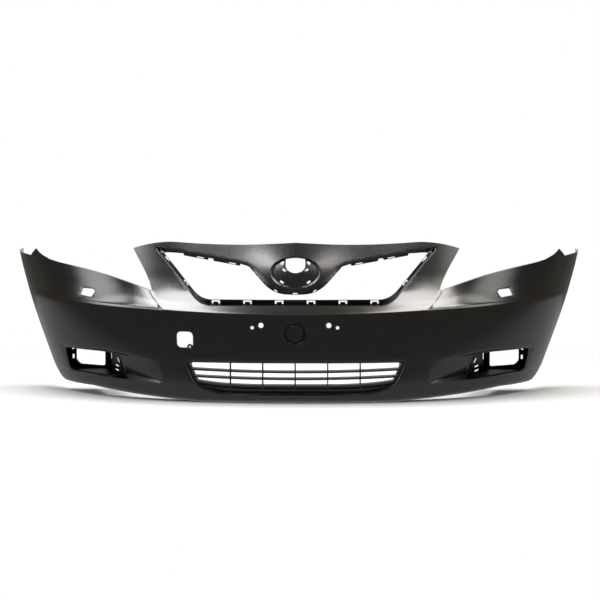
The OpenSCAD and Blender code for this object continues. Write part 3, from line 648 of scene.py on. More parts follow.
def gridIn(zone):
    (u0, u1), (v0, v1) = zone
    return np.flatnonzero((gridU >= u0) & (gridU <= u1) & (gridV >= v0) & (gridV <= v1))


# columns and rows under points that are given by two of their coordinates
search = {"step": 1e-3, "turns": 8, "mostU": 0.5, "mostV": 0.7, "flat": 1e-6, "miss": 0.2}


def toSurface(points, axes, zone):
    (u0, u1), (v0, v1) = zone
    pick = gridIn(zone)
    tree = kdtree.KDTree(len(pick))
    for i in pick:
        tree.insert((gridP[i, axes[0]], gridP[i, axes[1]], 0), int(i))
    tree.balance()
    seeds = np.array([tree.find((p[0], p[1], 0))[1] for p in points])
    u, v = gridU[seeds].copy(), gridV[seeds].copy()
    h, flat, mostU, mostV = [search[n] for n in ("step", "flat", "mostU", "mostV")]
    for turn in range(search["turns"]):
        p = skinPoint(u, v)[:, axes]
        pu = (skinPoint(u + h, v)[:, axes] - p) / h
        pv = (skinPoint(u, v + h)[:, axes] - p) / h
        r = points - p
        det = pu[:, 0] * pv[:, 1] - pu[:, 1] * pv[:, 0]
        det = np.where(np.abs(det) < flat, flat, det)
        du = (r[:, 0] * pv[:, 1] - r[:, 1] * pv[:, 0]) / det
        dv = (pu[:, 0] * r[:, 1] - pu[:, 1] * r[:, 0]) / det
        u = np.clip(u + np.clip(du, -mostU, mostU), u0, u1)
        v = np.clip(v + np.clip(dv, -mostV, mostV), v0, v1)
    miss = np.abs(skinPoint(u, v)[:, axes] - points).max()
    if miss > search["miss"]:
        print("outline miss of", round(float(miss), 2), "mm")
    return u, v


# flange holes are round in the flange's own plane
flangeHole = {
    "columns": (2, 6),
    "radius": 4,
    "sides": 20,
    "edge": 1.5,
    "noseBack": 18,
    "noseZone": ((-9.9, 9.9), (23.02, 23.98)),
    "bottomBack": 16.8,
    "bottomZone": ((-22.9, 22.9), (0.02, 0.98)),
}
for side in (-1, 1):
    for k in flangeHole["columns"]:
        for word, row, way in (("nose", noseRow, 1), ("bottom", 1, -1)):
            x, y, z = skinPoint(np.array([side * k]), np.array([float(row)]))[0]
            spot = [x, y + flangeHole[word + "Back"]]
            hole = circle(flangeHole["radius"], spot, flangeHole["sides"])
            addRings(hole[::way], [(-way * flangeHole["edge"], 0), (0, 0)], pitch=9,
                     zone=flangeHole[word + "Zone"], axes=[0, 1])

# the fog pocket's edge in the sheet, with a round outer end
pocket = {
    "size": (195, 75),
    "corners": [3, 22, 18, 3],
    "shear": 31,
    "start": (15.05, 5.03),
    "span": (4.93, 0.94),
    "columns": (14.2, 21),
    "rows": (4.6, 6.4),
}
pocketW, pocketH = pocket["size"]
pocketForm = rounded([[0, 0], [pocketW, 0], [pocketW, pocketH], [0, pocketH]], pocket["corners"])
pocketForm[:, 0] += pocket["shear"] * (1 - pocketForm[:, 1] / pocketH) * pocketForm[:, 0] / pocketW
pocketU, pocketV = (pocket["start"] + pocketForm * pocket["span"] / [pocketW, pocketH]).T
for side in (1, -1):
    pocketZone = (sorted(side * k for k in pocket["columns"]), pocket["rows"])
    addRings(toSheet(side * pocketU, pocketV)[::side], plainEdge, zone=pocketZone, axes=None,
             clear=1, pitch=4)

# the grille seat's floor lies behind the nearest stretch of the opening's edge
seatEdge = resample(grilleEdge, 4)
seatEdgeY = skinPoint(*toSurface(seatEdge, faceAxes, wholeFace))[:, 1]
seatRun = np.roll(seatEdge, -1, axis=0) - np.roll(seatEdge, 1, axis=0)
seatLevel = np.maximum(0, unit(seatRun)[:, 0])  # 1 where the edge runs level along the bottom


# along the bottom the floor drops back, along the sides it leans forward
def seatY(points):
    gaps = np.linalg.norm(points[:, None] - seatEdge[None], axis=2)
    least, power = opening["seatBlend"]
    weight = 1 / (gaps + least) ** power
    weight /= weight.sum(axis=1)[:, None]
    level, gap = (weight * seatLevel).sum(axis=1), gaps.min(axis=1)
    back, slope, power = opening["seatBack"]
    lean, start = opening["seatLean"]
    shift = (level ** power * (back - slope * gap)
             - lean * level * (1 - level) * np.maximum(0, gap - start))
    return (weight * seatEdgeY).sum(axis=1) + opening["seatDepth"] + shift


# grid points that stay clear of the ring lines
keep = np.ones(len(gridU), bool)
gridEnd = np.full(len(gridU), np.nan)
ground = pressed(gridP[:, 0], gridP[:, 2])
ground[(gridV > noseRow) | (gridV < 1)] = 0
margin = 12
for ring in ringLines:
    pick = gridIn(ring["zone"])
    flat = gridP[pick][:, ring["axes"]] if ring["axes"] else toSheet(gridU[pick], gridV[pick])
    low, high = ring["line"].min(axis=0) - margin, ring["line"].max(axis=0) + margin
    boxed = ((flat > low) & (flat < high)).all(axis=1)
    pick, flat = pick[boxed], flat[boxed]
    offsets = [o for o, d in ring["rings"]]
    distance = outlineDistance(flat, ring["line"] if offsets[0] <= 0 else ring["line"][::-1])
    if ring["hole"]:
        keep[pick] &= distance < -max(abs(o) for o in offsets) - ring["clear"]
    else:
        keep[pick] &= ((distance < min(offsets) - ring["clear"])
                       | (distance > max(offsets) + ring["clear"]))
        gridEnd[pick[distance > 0]] = seatY(flat[distance > 0])

# all points of the sheet as columns, rows, depths pressed in and fixed depths
sheetPoints = [(gridU[keep], gridV[keep], ground[keep], gridEnd[keep])]
count = int(keep.sum())
edges = []
holeLoops = []
for ring in ringLines:
    for n, (off, deep) in enumerate(ring["rings"]):
        line = offset(ring["line"], off)
        u, v = toSurface(line, ring["axes"], ring["zone"]) if ring["axes"] else fromSheet(line)
        base = pressed(line[:, 0], line[:, 1]) if ring["axes"] == faceAxes else 0
        loop = np.arange(count, count + len(line))
        edges += [(int(a), int(b)) for a, b in zip(loop, np.roll(loop, -1))]
        last = n == len(ring["rings"]) - 1
        end = np.full(len(line), np.nan)
        if last and ring["ends"] == "collar":
            end = intakeFront(line[:, 0]) + opening["collarEnd"]
        if ring["ends"] == "seat":
            end = seatY(line) + deep
        if last and ring["hole"]:
            holeLoops.append(loop)
        sheetPoints.append((u, v, np.full(len(line), float(ring["ground"])) + base + deep, end))
        count += len(line)


# loose points round the emblem seat and the mould mark, where the form is pressed in
def addLoose(line):
    u, v = toSurface(line, faceAxes, wholeFace)
    sheetPoints.append((u, v, pressed(line[:, 0], line[:, 1]), np.full(len(line), np.nan)))


holeGap, wallGap = opening["looseGap"]
for r in opening["dishLines"]:
    line = np.array([[dishX * r * math.cos(a), dishZ + dishHalf * r * math.sin(a)]
                     for a in np.arange(90) * math.tau / 90])
    clear = np.ones(len(line), bool)
    for ring in ringLines:
        if ring["axes"] == faceAxes:
            gap = outlineDistance(line, ring["line"])
            clear &= gap < -holeGap if ring["hole"] else np.abs(gap) > wallGap
    addLoose(line[clear])
for r in opening["markLines"]:
    addLoose(circle(markR + r, [markX, markZ], 72))
pointU, pointV, pointDepth, pointEnd = [np.concatenate(a) for a in zip(*sheetPoints)]

# folds, rims and ends of the sheet that the mesh has to follow, as line, start and stop
rowFolds = [(0, 0, sillEndK), (1, 0, rimK)]
rowFolds += [(row, notchN + 1, archK) for row in (lipRow, ledgeRow, scoopRow - 1, scoopRow)]
rowFolds += [(wingRow - 1, archK, rimK), (wingRow, notchN + 1, archK),
             (wingRow + 1, notchN + 1, flankK), (noseRow, 0, notchN), (lastRow, 0, notchN)]
columnFolds = [(notchN, scoopRow, lastRow), (notchN + 1, scoopRow, wingRow + 1),
               (frontK, lipRow, scoopRow), (flankK, wingRow, wingRow + 1),
               (pocketEndK - 1, lipRow, scoopRow), (pocketEndK, lipRow, scoopRow),
               (sillEndK, 0, 1), (archK, 1, wingRow), (rimK, 1, wingRow - 1)]


def gridKey(u, v):
    return round(float(u), 4), round(float(v), 4)


index = {gridKey(u, v): i for i, (u, v) in enumerate(zip(gridU[keep], gridV[keep]))}


def addFold(u, v, du, dv):
    ends = [index.get(gridKey(a, b)) for a, b in zip(u, v)]
    midU, midV = (u[:-1] + u[1:]) / 2, (v[:-1] + v[1:]) / 2
    live = isSkin(midU - du, midV - dv) | isSkin(midU + du, midV + dv)
    for i, j, on in zip(ends[:-1], ends[1:], live):
        if on and i is not None and j is not None:
            edges.append((i, j))


for row, start, stop in rowFolds:
    for side in (-1, 1):
        run = side * rightU[(rightU >= start) & (rightU <= stop)]
        addFold(run, np.full(len(run), float(row)), 0, nudge)
for column, start, stop in columnFolds:
    for side in (-1, 1):
        run = vLines[(vLines >= start) & (vLines <= stop)]
        addFold(np.full(len(run), float(side * column)), run, nudge, 0)

sheet = toSheet(pointU, pointV)
found = delaunay_2d_cdt([Vector(q) for q in sheet], edges, [], 0, 1e-5)
sheetOut = np.array([tuple(q) for q in found[0]])
faces = np.array([f for f in found[2] if len(f) == 3])
source = np.array([o[0] if o else -1 for o in found[3]])
given = source >= 0
print("cover sheet:", len(sheetOut), "points,", int((~given).sum()), "added where lines cross")
outU, outV = fromSheet(sheetOut)
outU = np.where(given, pointU[source], outU)
outV = np.where(given, pointV[source], outV)
outDepth = np.where(given, pointDepth[source], 0)
outEnd = np.where(given, pointEnd[source], np.nan)
middle = sheetOut[faces].mean(axis=1)
held = isSkin(*fromSheet(middle))
for loop in holeLoops:
    polygon = sheet[loop]
    low, high = polygon.min(axis=0), polygon.max(axis=0)
    pick = np.flatnonzero(((middle > low) & (middle < high)).all(axis=1))
    held[pick] &= ~insidePolygon(middle[pick], polygon)
faces = faces[held]
outer = skinPoint(outU, outV)
outer[:, 1] = np.where(np.isnan(outEnd), outer[:, 1] + outDepth, outEnd)


# a closed wall between a face and its copy pushed inwards
def thicken(points, faces, wall, leastLean=0.6):
    used = np.unique(faces)
    renumber = np.full(len(points), -1)
    renumber[used] = np.arange(len(used))
    points, faces = points[used], renumber[faces]
    a, b, c = points[faces[:, 0]], points[faces[:, 1]], points[faces[:, 2]]
    normal = unit(np.cross(b - a, c - a))
    summed = np.zeros_like(points)
    for i, (p, q, r) in enumerate(((a, b, c), (b, c, a), (c, a, b))):
        corner = np.arccos(np.clip((unit(q - p) * unit(r - p)).sum(axis=1), -1, 1))
        np.add.at(summed, faces[:, i], normal * corner[:, None])
    normals = unit(summed)
    lean = np.ones(len(points))
    for i in range(3):
        np.minimum.at(lean, faces[:, i], (normals[faces[:, i]] * normal).sum(axis=1))
    inner = points - normals * (wall / np.clip(lean, leastLean, 1))[:, None]
    pairs = np.concatenate([faces[:, [0, 1]], faces[:, [1, 2]], faces[:, [2, 0]]])
    known = {(int(p), int(q)) for p, q in pairs}
    rim = np.array([(p, q) for p, q in known if (q, p) not in known])
    n = len(points)
    walls = np.concatenate([np.stack([rim[:, 1], rim[:, 0], rim[:, 0] + n], axis=1),
                            np.stack([rim[:, 1], rim[:, 0] + n, rim[:, 1] + n], axis=1)])
    return np.concatenate([points, inner]), np.concatenate([faces, faces[:, ::-1] + n, walls])


def toFrame(points):
    return (np.asarray(points, float) + [0, yShift, 0]) * mm


coverPoints, coverFaces = thicken(outer, faces, cover["wall"])
print("cover skin:", len(coverFaces), "triangles")


# a closed form whose faces all point outwards
def closedMesh(points, faces):
    p = np.asarray(points, float)
    volume = 0
    for f in faces:
        for i in range(1, len(f) - 1):
            volume += np.dot(p[f[0]], np.cross(p[f[i]], p[f[i + 1]]))
    return p, [list(f)[::-1] for f in faces] if volume < 0 else [list(f) for f in faces]


# a round form about a line along y, from a profile of (radius, y)
def lathe(profile, place, sides=24, ring=False):
    points, faces, rings = [], [], []
    for r, y in profile:
        start = len(points)
        if r == 0:
            points.append([place[0], y, place[1]])
            rings.append([start] * sides)
        else:
            points += [[place[0] + r * math.cos(a), y, place[1] + r * math.sin(a)]
                       for a in np.arange(sides) * math.tau / sides]
            rings.append(list(range(start, start + sides)))
    for a, b in zip(rings if ring else rings[:-1], rings[1:] + rings[:1]):
        for i in range(sides):
            j = (i + 1) % sides
            face = [a[i], a[j], b[j], b[i]]
            face = [f for n, f in enumerate(face) if f not in face[:n]]
            if len(face) > 2:
                faces.append(face)
    return closedMesh(points, faces)


def joined(forms):
    points, faces, start = [], [], 0
    for p, f in forms:
        points.append(p)
        faces += [[int(i) + start for i in face] for face in f]
        start += len(p)
    return np.concatenate(points), faces


# screws, and the bosses behind the skin with their pilot holes
fixing = {
    "bossD": 9,
    "bossOut": 9,
    "bossEdge": 0.5,
    "bossRoot": 0.6,
    "pilotD": 4.4,
    "pilotDepth": 10,
    "screwD": 4,
    "screwTip": 1.5,
    "headD": 9,
    "headT": 2.4,
    "headCurve": [(1, 0.35), (0.93, 0.62), (0.75, 0.85), (0.45, 0.97)],
    "recess": (4.6, 1.05),
    "recessTaper": 0.55,
    "recessLift": 0.15,
    "bite": 9,
    "gap": 0.3,
    "headGap": 0.05,
    "topShares": (-0.87, -0.46, 0, 0.46, 0.87),
    "lowShares": (-0.59, -0.3, 0.3, 0.59),
    "lowTop": (64, 143),
    "tabOut": 12,
    "bracketWall": 3,
    "fog": ((0.635, 1, 22), (0.78, 1, 32), (0.724, 0, 50)),
}
intakeHalf, intakeTop = opening["intake"][2]
intakeLow = opening["intake"][0][1]
grilleBosses = [(s * intakeHalf, intakeTop + fixing["bossOut"]) for s in fixing["topShares"]]
grilleBosses += [(s * intakeHalf, intakeLow - fixing["bossOut"]) for s in fixing["lowShares"]]
fogBosses = []
for share, top, stand in fixing["fog"]:
    z = fixing["lowTop"][top] + (fixing["tabOut"] if top else -fixing["tabOut"])
    fogBosses.append((share * half, planY(share * half, intakeY, halfAt(z)) + stand, z))


def skinDepth(spots):
    return skinPoint(*toSurface(np.array(spots, float), faceAxes, wholeFace))[:, 1]


# a boss grows out of the skin's inner face, so its foot follows the skin
def boss(x, z, end):
    r, pilot, edge = fixing["bossD"] / 2, fixing["pilotD"] / 2, fixing["bossEdge"]
    floor, foot = end - fixing["pilotDepth"], -1000  # the foot is set below
    points, faces = lathe([(0, foot), (r, foot), (r, end - edge), (r - edge, end), (pilot, end),
                           (pilot, floor), (0, floor)], (x, z))
    low = points[:, 1] == foot
    points[low, 1] = skinDepth(points[low][:, [0, 2]]) + fixing["bossRoot"] * cover["wall"]
    return points, faces


bossForms = [boss(x, z, intakeFront(x) + opening["collarEnd"]) for x, z in grilleBosses]
bossForms += [boss(side * x, z, y - fixing["gap"]) for side in (-1, 1) for x, y, z in fogBosses]
tab, edge = opening["towTab"], fixing["bossEdge"]
tabSpot = (towX + tab["place"][0], towZ + tab["place"][1])
tabY = skinDepth([tabSpot])[0] + opening["towWall"][-1][1] - cover["wall"]
tabEnd, tabR, tabHole = tabY + tab["thick"], tab["radius"], tab["hole"]
bossForms.append(lathe([(tabHole, tabY), (tabR - edge, tabY), (tabR, tabY + edge), (tabR, tabEnd),
                        (tabHole, tabEnd)], tabSpot, ring=True))
print("cover bosses and tab:", len(bossForms))

# lower grille: frame, flange, slats, bar, ribs and the panel under the bar
grille = {
    "frameGap": 1,
    "frameFace": [3, 8, 5, 8, 3, 3],
    "frameMiddle": 0.35,
    "frameSection": [(0, 15), (0.06, 14.3), (0.15, 14), (0.24, 14.2), (0.32, 15), (1, 47), (1, 50),
                     (0, 50)],
    "slatFront": 18,
    "slatBack": 46,
    "slatThick": 4.5,
    "slatLean": 5,
    "slatPitch": 20.5,
    "slatBow": (7, 2),
    "slatPoints": 61,
    "barZ": 51,
    "barBow": (18, 4),
    "edgeRadius": 1,
    "ribPitch": 95.5,
    "ribThick": 4,
    "ribFront": 20,
    "ribBack": 42,
    "ribTuck": (1, 2),
    "ribEdge": 0.5,
    "stripZ": 38,
    "stripThick": 3,
    "stripEdge": 0.6,
    "stripTuck": 1,
    "panelFront": 38,
    "panelThick": 3,
    "panelGap": 1.5,
    "panelSearch": (200, 300, 101),
    "flangeOut": 17,
    "flangeThick": 3,
}


def intakeOffset(distances):
    return rounded(inset(intakeLine, distances), intakeCorner)


# a frame between two outlines with the same count of points, its section as (share inwards, depth)
def framed(outerLine, innerLine, section, pitch=9):
    a, b = [], []
    for i in range(len(outerLine)):
        j = (i + 1) % len(outerLine)
        n = max(1, int(round(np.linalg.norm(outerLine[j] - outerLine[i]) / pitch)))
        for s in range(n):
            a.append(lerp(outerLine[i], outerLine[j], s / n))
            b.append(lerp(innerLine[i], innerLine[j], s / n))
    points, faces, m = [], [], len(section)
    for p, q in zip(a, b):
        for share, deep in section:
            x, z = lerp(p, q, share)
            points.append([x, intakeFront(x) + deep, z])
    for i in range(len(a)):
        j = (i + 1) % len(a)
        for s in range(m):
            t = (s + 1) % m
            faces.append([i * m + s, i * m + t, j * m + t, j * m + s])
    return closedMesh(points, faces)


even = np.ones(len(intakeLine))
faceWidths = np.array(grille["frameFace"])
gapLine = intakeOffset(grille["frameGap"] * even)
frameForm = framed(gapLine, intakeOffset(grille["frameGap"] + faceWidths), grille["frameSection"])
flangeFront = opening["collarEnd"] + fixing["gap"]
flangeBack = flangeFront + grille["flangeThick"]
flangeForm = framed(intakeOffset(-grille["flangeOut"] * even), gapLine,
                    [(0, flangeFront), (1, flangeFront), (1, flangeBack), (0, flangeBack)])


def bowed(x, z, bow):
    return z + bow[0] * (np.abs(x) / intakeHalf) ** bow[1]


def barHeight(x):
    return bowed(x, grille["barZ"], grille["barBow"])


# the panel reaches from the bar down to the opening's lower edge
panelLine = intakeOffset(grille["panelGap"] * even)


def panelLow(x):
    cuts = []
    for a, b in zip(panelLine, np.roll(panelLine, -1, axis=0)):
        if (a[0] > x) != (b[0] > x):
            cuts.append(lerp(a[1], b[1], (x - a[0]) / (b[0] - a[0])))
    return min(cuts)


panelEdge = max(x for x in np.linspace(*grille["panelSearch"]) if panelLow(x) < barHeight(x))
panelPoints, panelFaces = [], []
panelX = np.linspace(-panelEdge, panelEdge, grille["slatPoints"])
for x in panelX:
    for z in (panelLow(x), barHeight(x)):
        for deep in (grille["panelFront"], grille["panelFront"] + grille["panelThick"]):
            panelPoints.append([x, intakeFront(x) + deep, z])
for i in range(len(panelX) - 1):
    a, b = 4 * i, 4 * i + 4
    panelFaces += [[a, b, b + 2, a + 2], [a + 1, a + 3, b + 3, b + 1],
                   [a, a + 1, b + 1, b], [a + 2, b + 2, b + 3, a + 3]]
panelFaces += [[0, 2, 3, 1], [b, b + 1, b + 3, b + 2]]
panelForm = closedMesh(panelPoints, panelFaces)


# node maths: a socket that takes part in plain expressions
class Wire:
    def __init__(self, tree, socket=None):
        self.tree = tree
        self.socket = socket

    def add(self, kind, settings=None, values=None, out=0):
        node = self.tree.nodes.new(kind)
        for key, value in (settings or {}).items():
            if key == "stops":
                stops = node.color_ramp.elements
                for i, (place, colour) in enumerate(value):
                    stop = stops[i] if i < 2 else stops.new(place)
                    stop.position, stop.color = place, colour
            else:
                setattr(node, key, value)
        for key, value in (values or {}).items():
            socket = node.inputs[key] if isinstance(key, int) else next(
                s for s in node.inputs if s.name == key and s.enabled)
            if isinstance(value, Wire):
                self.tree.links.new(value.socket, socket)
            else:
                socket.default_value = value
        outputs = [s for s in node.outputs if s.enabled] or [None]
        return Wire(self.tree, node.outputs[out] if isinstance(out, str) else outputs[out])

    def sum(self, operation, a, b):
        return self.add("ShaderNodeMath", {"operation": operation}, {0: a, 1: b})

    def __add__(self, other):
        return self.sum("ADD", self, other)

    def __radd__(self, other):
        return self.sum("ADD", other, self)

    def __mul__(self, other):
        return self.sum("MULTIPLY", self, other)

    def __rmul__(self, other):
        return self.sum("MULTIPLY", other, self)


# node trees: one sweeps a bar along a line, the other sets a form on points
def newTree(name, inputs):
    tree = bpy.data.node_groups.new(name, "GeometryNodeTree")
    for label, kind in [("Geometry", "Geometry")] + inputs + [("Material", "Material")]:
        tree.interface.new_socket(label, in_out="INPUT", socket_type="NodeSocket" + kind)
    tree.interface.new_socket("Geometry", in_out="OUTPUT", socket_type="NodeSocketGeometry")
    start = tree.nodes.new("NodeGroupInput")
    return Wire(tree), {s.name: Wire(tree, s) for s in start.outputs}


def endTree(wire, given, made):
    whole = wire.add("GeometryNodeRealizeInstances", None, {0: made})
    painted = wire.add("GeometryNodeSetMaterial", None,
                       {"Geometry": whole, "Material": given["Material"]})
    wire.add("NodeGroupOutput", None, {0: painted})
    return wire.tree


def barTree():
    wire, given = newTree("barAlongLine", [("Depth", "Float"), ("Thickness", "Float"),
                                           ("Edge radius", "Float"), ("Lean", "Float")])
    curve = wire.add("GeometryNodeMeshToCurve", None, {0: given["Geometry"]})
    upright = wire.add("GeometryNodeSetCurveNormal", {"mode": "Z_UP"}, {0: curve})
    leaning = wire.add("GeometryNodeSetCurveTilt", None, {"Curve": upright, "Tilt": given["Lean"]})
    section = wire.add("GeometryNodeCurvePrimitiveQuadrilateral", None,
                       {"Width": given["Depth"], "Height": given["Thickness"]})
    fillet = wire.add("GeometryNodeFilletCurve", {"mode": "POLY"},
                      {"Curve": section, "Radius": given["Edge radius"], "Count": 3})
    sweep = wire.add("GeometryNodeCurveToMesh", None,
                     {"Curve": leaning, "Profile Curve": fillet, "Fill Caps": True})
    return endTree(wire, given, sweep)


def formTree():
    wire, given = newTree("formOnPoints", [("Form", "Object"), ("Size", "Float")])
    form = wire.add("GeometryNodeObjectInfo", None, {"Object": given["Form"]}, out="Geometry")
    placed = wire.add("GeometryNodeInstanceOnPoints", None,
                      {"Points": given["Geometry"], "Instance": form, "Scale": given["Size"]})
    return endTree(wire, given, placed)


def newObject(name, data):
    made = bpy.data.objects.new(name, data)
    bpy.context.scene.collection.objects.link(made)
    return made


def evaluatedMesh(piece):
    graph = bpy.context.evaluated_depsgraph_get()
    return bpy.data.meshes.new_from_object(piece.evaluated_get(graph))


def meshFrom(name, whole):
    mesh = bpy.data.meshes.new(name)
    whole.to_mesh(mesh)
    whole.free()
    return mesh


# runs a tree on lines or points and gives back the plain mesh it makes
def grown(name, tree, points, lines, values):
    mesh = bpy.data.meshes.new(name)
    mesh.from_pydata(toFrame(points).tolist(), lines, [])
    piece = newObject(name, mesh)
    modifier = piece.modifiers.new("nodes", "NODES")
    modifier.node_group = tree
    for socket in tree.interface.items_tree:
        if socket.in_out == "INPUT" and socket.name in values:
            modifier[socket.identifier] = values[socket.name]
    made = evaluatedMesh(piece)
    bpy.data.objects.remove(piece)
    made.name = name
    return made


def newMaterial(name):
    material = bpy.data.materials.new(name)
    material.use_nodes = True
    material.node_tree.nodes.clear()
    return material, Wire(material.node_tree)


def finishMaterial(material, wire, shader):
    wire.add("ShaderNodeOutputMaterial", None, {"Surface": shader})
    return material


def rgba(colour):
    return tuple(colour) + (1,)


def mixed(wire, factor, a, b, blend="MIX"):
    return wire.add("ShaderNodeMix", {"data_type": "RGBA", "blend_type": blend},
                    {"Factor": factor, "A": a, "B": b})


def smooth(wire, value, low, high):
    return wire.add("ShaderNodeMapRange", {"interpolation_type": "SMOOTHSTEP"},
                    {"Value": value, "From Min": low, "From Max": high})


# moulded plastic: fine grain, uneven gloss, faint scuffs and a little dust in the colour
plastic = {
    "cover": {"colour": (0.0036, 0.0036, 0.0031), "rough": 0.2, "level": 0.9,
              "grain": 900, "grainHeight": 0.035},
    "insert": {"colour": (0.022, 0.022, 0.021), "rough": 0.34, "level": 0.8,
               "grain": 1300, "grainHeight": 0.06},
    "bracket": {"colour": (0.0025, 0.0025, 0.0026), "rough": 0.42, "level": 0.15,
                "grain": 1500, "grainHeight": 0.02},
    "cloud": {"Scale": 7, "Detail": 4, "Roughness": 0.6},
    "smear": {"Rotation": (0.3, 0.5, 0.9), "Scale": (3, 16, 40)},
    "scuff": {"Scale": 5, "Detail": 6, "Roughness": 0.7},
    "scuffFrom": (0.56, 0.75),
    "grainDetail": 2,
    "pebbleScale": 0.6,
    "pebbleSoft": 0.6,
    "dust": (1.4, 0.002),
    "dustShares": (0.5, 0.35),
    "roughShares": (-0.03, 0.05, 0.025, 0.01),
    "bumpShares": (0.6, 0.6),
    "bumpGain": 4,
    "bumpDistance": 0.0004,
}


def plasticMaterial(name, look):
    material, wire = newMaterial(name)
    place = wire.add("ShaderNodeTexCoord", out="Object")
    cloud = wire.add("ShaderNodeTexNoise", None, {"Vector": place, **plastic["cloud"]})
    smear = wire.add("ShaderNodeMapping", None, {"Vector": place, **plastic["smear"]})
    scuff = wire.add("ShaderNodeTexNoise", None, {"Vector": smear, **plastic["scuff"]})
    mark = smooth(wire, scuff, *plastic["scuffFrom"])
    grain = wire.add("ShaderNodeTexNoise", None,
                     {"Vector": place, "Scale": look["grain"], "Detail": plastic["grainDetail"]})
    pebble = wire.add("ShaderNodeTexVoronoi", {"feature": "SMOOTH_F1"},
                      {"Vector": place, "Scale": look["grain"] * plastic["pebbleScale"],
                       "Smoothness": plastic["pebbleSoft"]})
    gain, lift = plastic["dust"]
    inClouds, inMarks = plastic["dustShares"]
    dusty = [c * gain + lift for c in look["colour"]]
    colour = mixed(wire, cloud * inClouds + mark * inMarks, rgba(look["colour"]), rgba(dusty))
    less, byCloud, byMark, byGrain = plastic["roughShares"]
    rough = look["rough"] + less + cloud * byCloud + mark * byMark + grain * byGrain
    grainShare, pebbleShare = plastic["bumpShares"]
    normal = wire.add("ShaderNodeBump", None,
                      {"Strength": look["grainHeight"] * plastic["bumpGain"],
                       "Distance": plastic["bumpDistance"],
                       "Height": grain * grainShare + pebble * pebbleShare})
    shader = wire.add("ShaderNodeBsdfPrincipled", None,
                      {"Base Color": colour, "Roughness": rough, "Normal": normal,
                       "Specular IOR Level": look["level"]})
    return finishMaterial(material, wire, shader)


# zinc plating: cloudy colour and gloss over fine spangle
zinc = {
    "dark": (0.42, 0.43, 0.45),
    "pale": (0.6, 0.6, 0.58),
    "rough": (0.26, 0.22),
    "cloud": {"Scale": 260, "Detail": 5},
    "spangle": 900,
    "bump": {"Strength": 0.15, "Distance": 0.0002},
}


def zincMaterial(name):
    material, wire = newMaterial(name)
    place = wire.add("ShaderNodeTexCoord", out="Object")
    cloud = wire.add("ShaderNodeTexNoise", None, {"Vector": place, **zinc["cloud"]})
    spot = wire.add("ShaderNodeTexVoronoi", None, {"Vector": place, "Scale": zinc["spangle"]})
    colour = mixed(wire, cloud, rgba(zinc["dark"]), rgba(zinc["pale"]))
    normal = wire.add("ShaderNodeBump", None, {"Height": spot, **zinc["bump"]})
    least, more = zinc["rough"]
    shader = wire.add("ShaderNodeBsdfPrincipled", None,
                      {"Base Color": colour, "Metallic": 1.0, "Roughness": least + cloud * more,
                       "Normal": normal})
    return finishMaterial(material, wire, shader)


coverPlastic = plasticMaterial("satinMouldedPlastic", plastic["cover"])
insertPlastic = plasticMaterial("grainedInsertPlastic", plastic["insert"])
bracketPlastic = plasticMaterial("glossyBracketPlastic", plastic["bracket"])
zincSteel = zincMaterial("zincPlatedSteel")
print("materials made")


def plainMesh(name, form):
    points, faces = form
    mesh = bpy.data.meshes.new(name)
    mesh.from_pydata(toFrame(points).tolist(), [], [[int(i) for i in f] for f in faces])
    return mesh


# joins meshes into one finished piece that stands for a node of the frame
def finishPiece(name, meshes, material, node, sharp=35):
    whole = bmesh.new()
    for mesh in meshes:
        whole.from_mesh(mesh)
    mesh = meshFrom(name, whole)
    mesh.validate()
    for face in mesh.polygons:
        face.material_index = 0
    mesh.materials.clear()
    mesh.materials.append(material)
    mesh.shade_smooth()
    mesh.set_sharp_from_angle(angle=math.radians(sharp))
    piece = newObject(name, mesh)
    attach(piece, "root")
    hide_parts(node)
    print(name, len(mesh.polygons), "faces")


finishPiece("bumperCover", [plainMesh("skin", joined([(coverPoints, coverFaces)] + bossForms))],
            coverPlastic, "bumper_cover")

# slats, bar and strip follow the plan of the opening and end inside the frame
frameMiddle = intakeOffset(grille["frameGap"] + grille["frameMiddle"] * faceWidths)
bars = barTree()
chain = [(i, i + 1) for i in range(grille["slatPoints"] - 1)]


def barMesh(name, z, bow, front, back, thick, edge, lean):
    xs = np.linspace(0, intakeHalf, 400)
    spot = np.stack([xs, bowed(xs, z, bow)], axis=1)
    end = xs[outlineDistance(spot, frameMiddle) > 0].max()
    x = np.linspace(-end, end, grille["slatPoints"])
    line = np.stack([x, intakeFront(x) + (front + back) / 2, bowed(x, z, bow)], axis=1)
    return grown(name, bars, line, chain,
                 {"Depth": (back - front) * mm, "Thickness": thick * mm, "Edge radius": edge * mm,
                  "Lean": math.radians(lean), "Material": insertPlastic})


grilleMeshes = [plainMesh("frame", frameForm), plainMesh("flange", flangeForm),
                plainMesh("panel", panelForm)]
slatRows = [(grille["barZ"] + i * grille["slatPitch"], grille["slatBow"]) for i in (1, 2)]
for z, bow in slatRows + [(grille["barZ"], grille["barBow"])]:
    grilleMeshes.append(barMesh("slat", z, bow, grille["slatFront"], grille["slatBack"],
                                grille["slatThick"], grille["edgeRadius"], grille["slatLean"]))
grilleMeshes.append(barMesh("strip", grille["stripZ"] + grille["stripThick"] / 2, grille["barBow"],
                            grille["slatFront"], grille["panelFront"] + grille["stripTuck"],
                            grille["stripThick"], grille["stripEdge"], 0))


def boxForm(w, d, h, edge, name):
    whole = bmesh.new()
    bmesh.ops.create_cube(whole, size=1)
    for v in whole.verts:
        v.co = (v.co.x * w * mm, v.co.y * d * mm, v.co.z * h * mm)
    bmesh.ops.bevel(whole, geom=whole.edges[:], offset=edge * mm, segments=2, affect="EDGES",
                    profile=0.5)
    return newObject(name, meshFrom(name, whole))


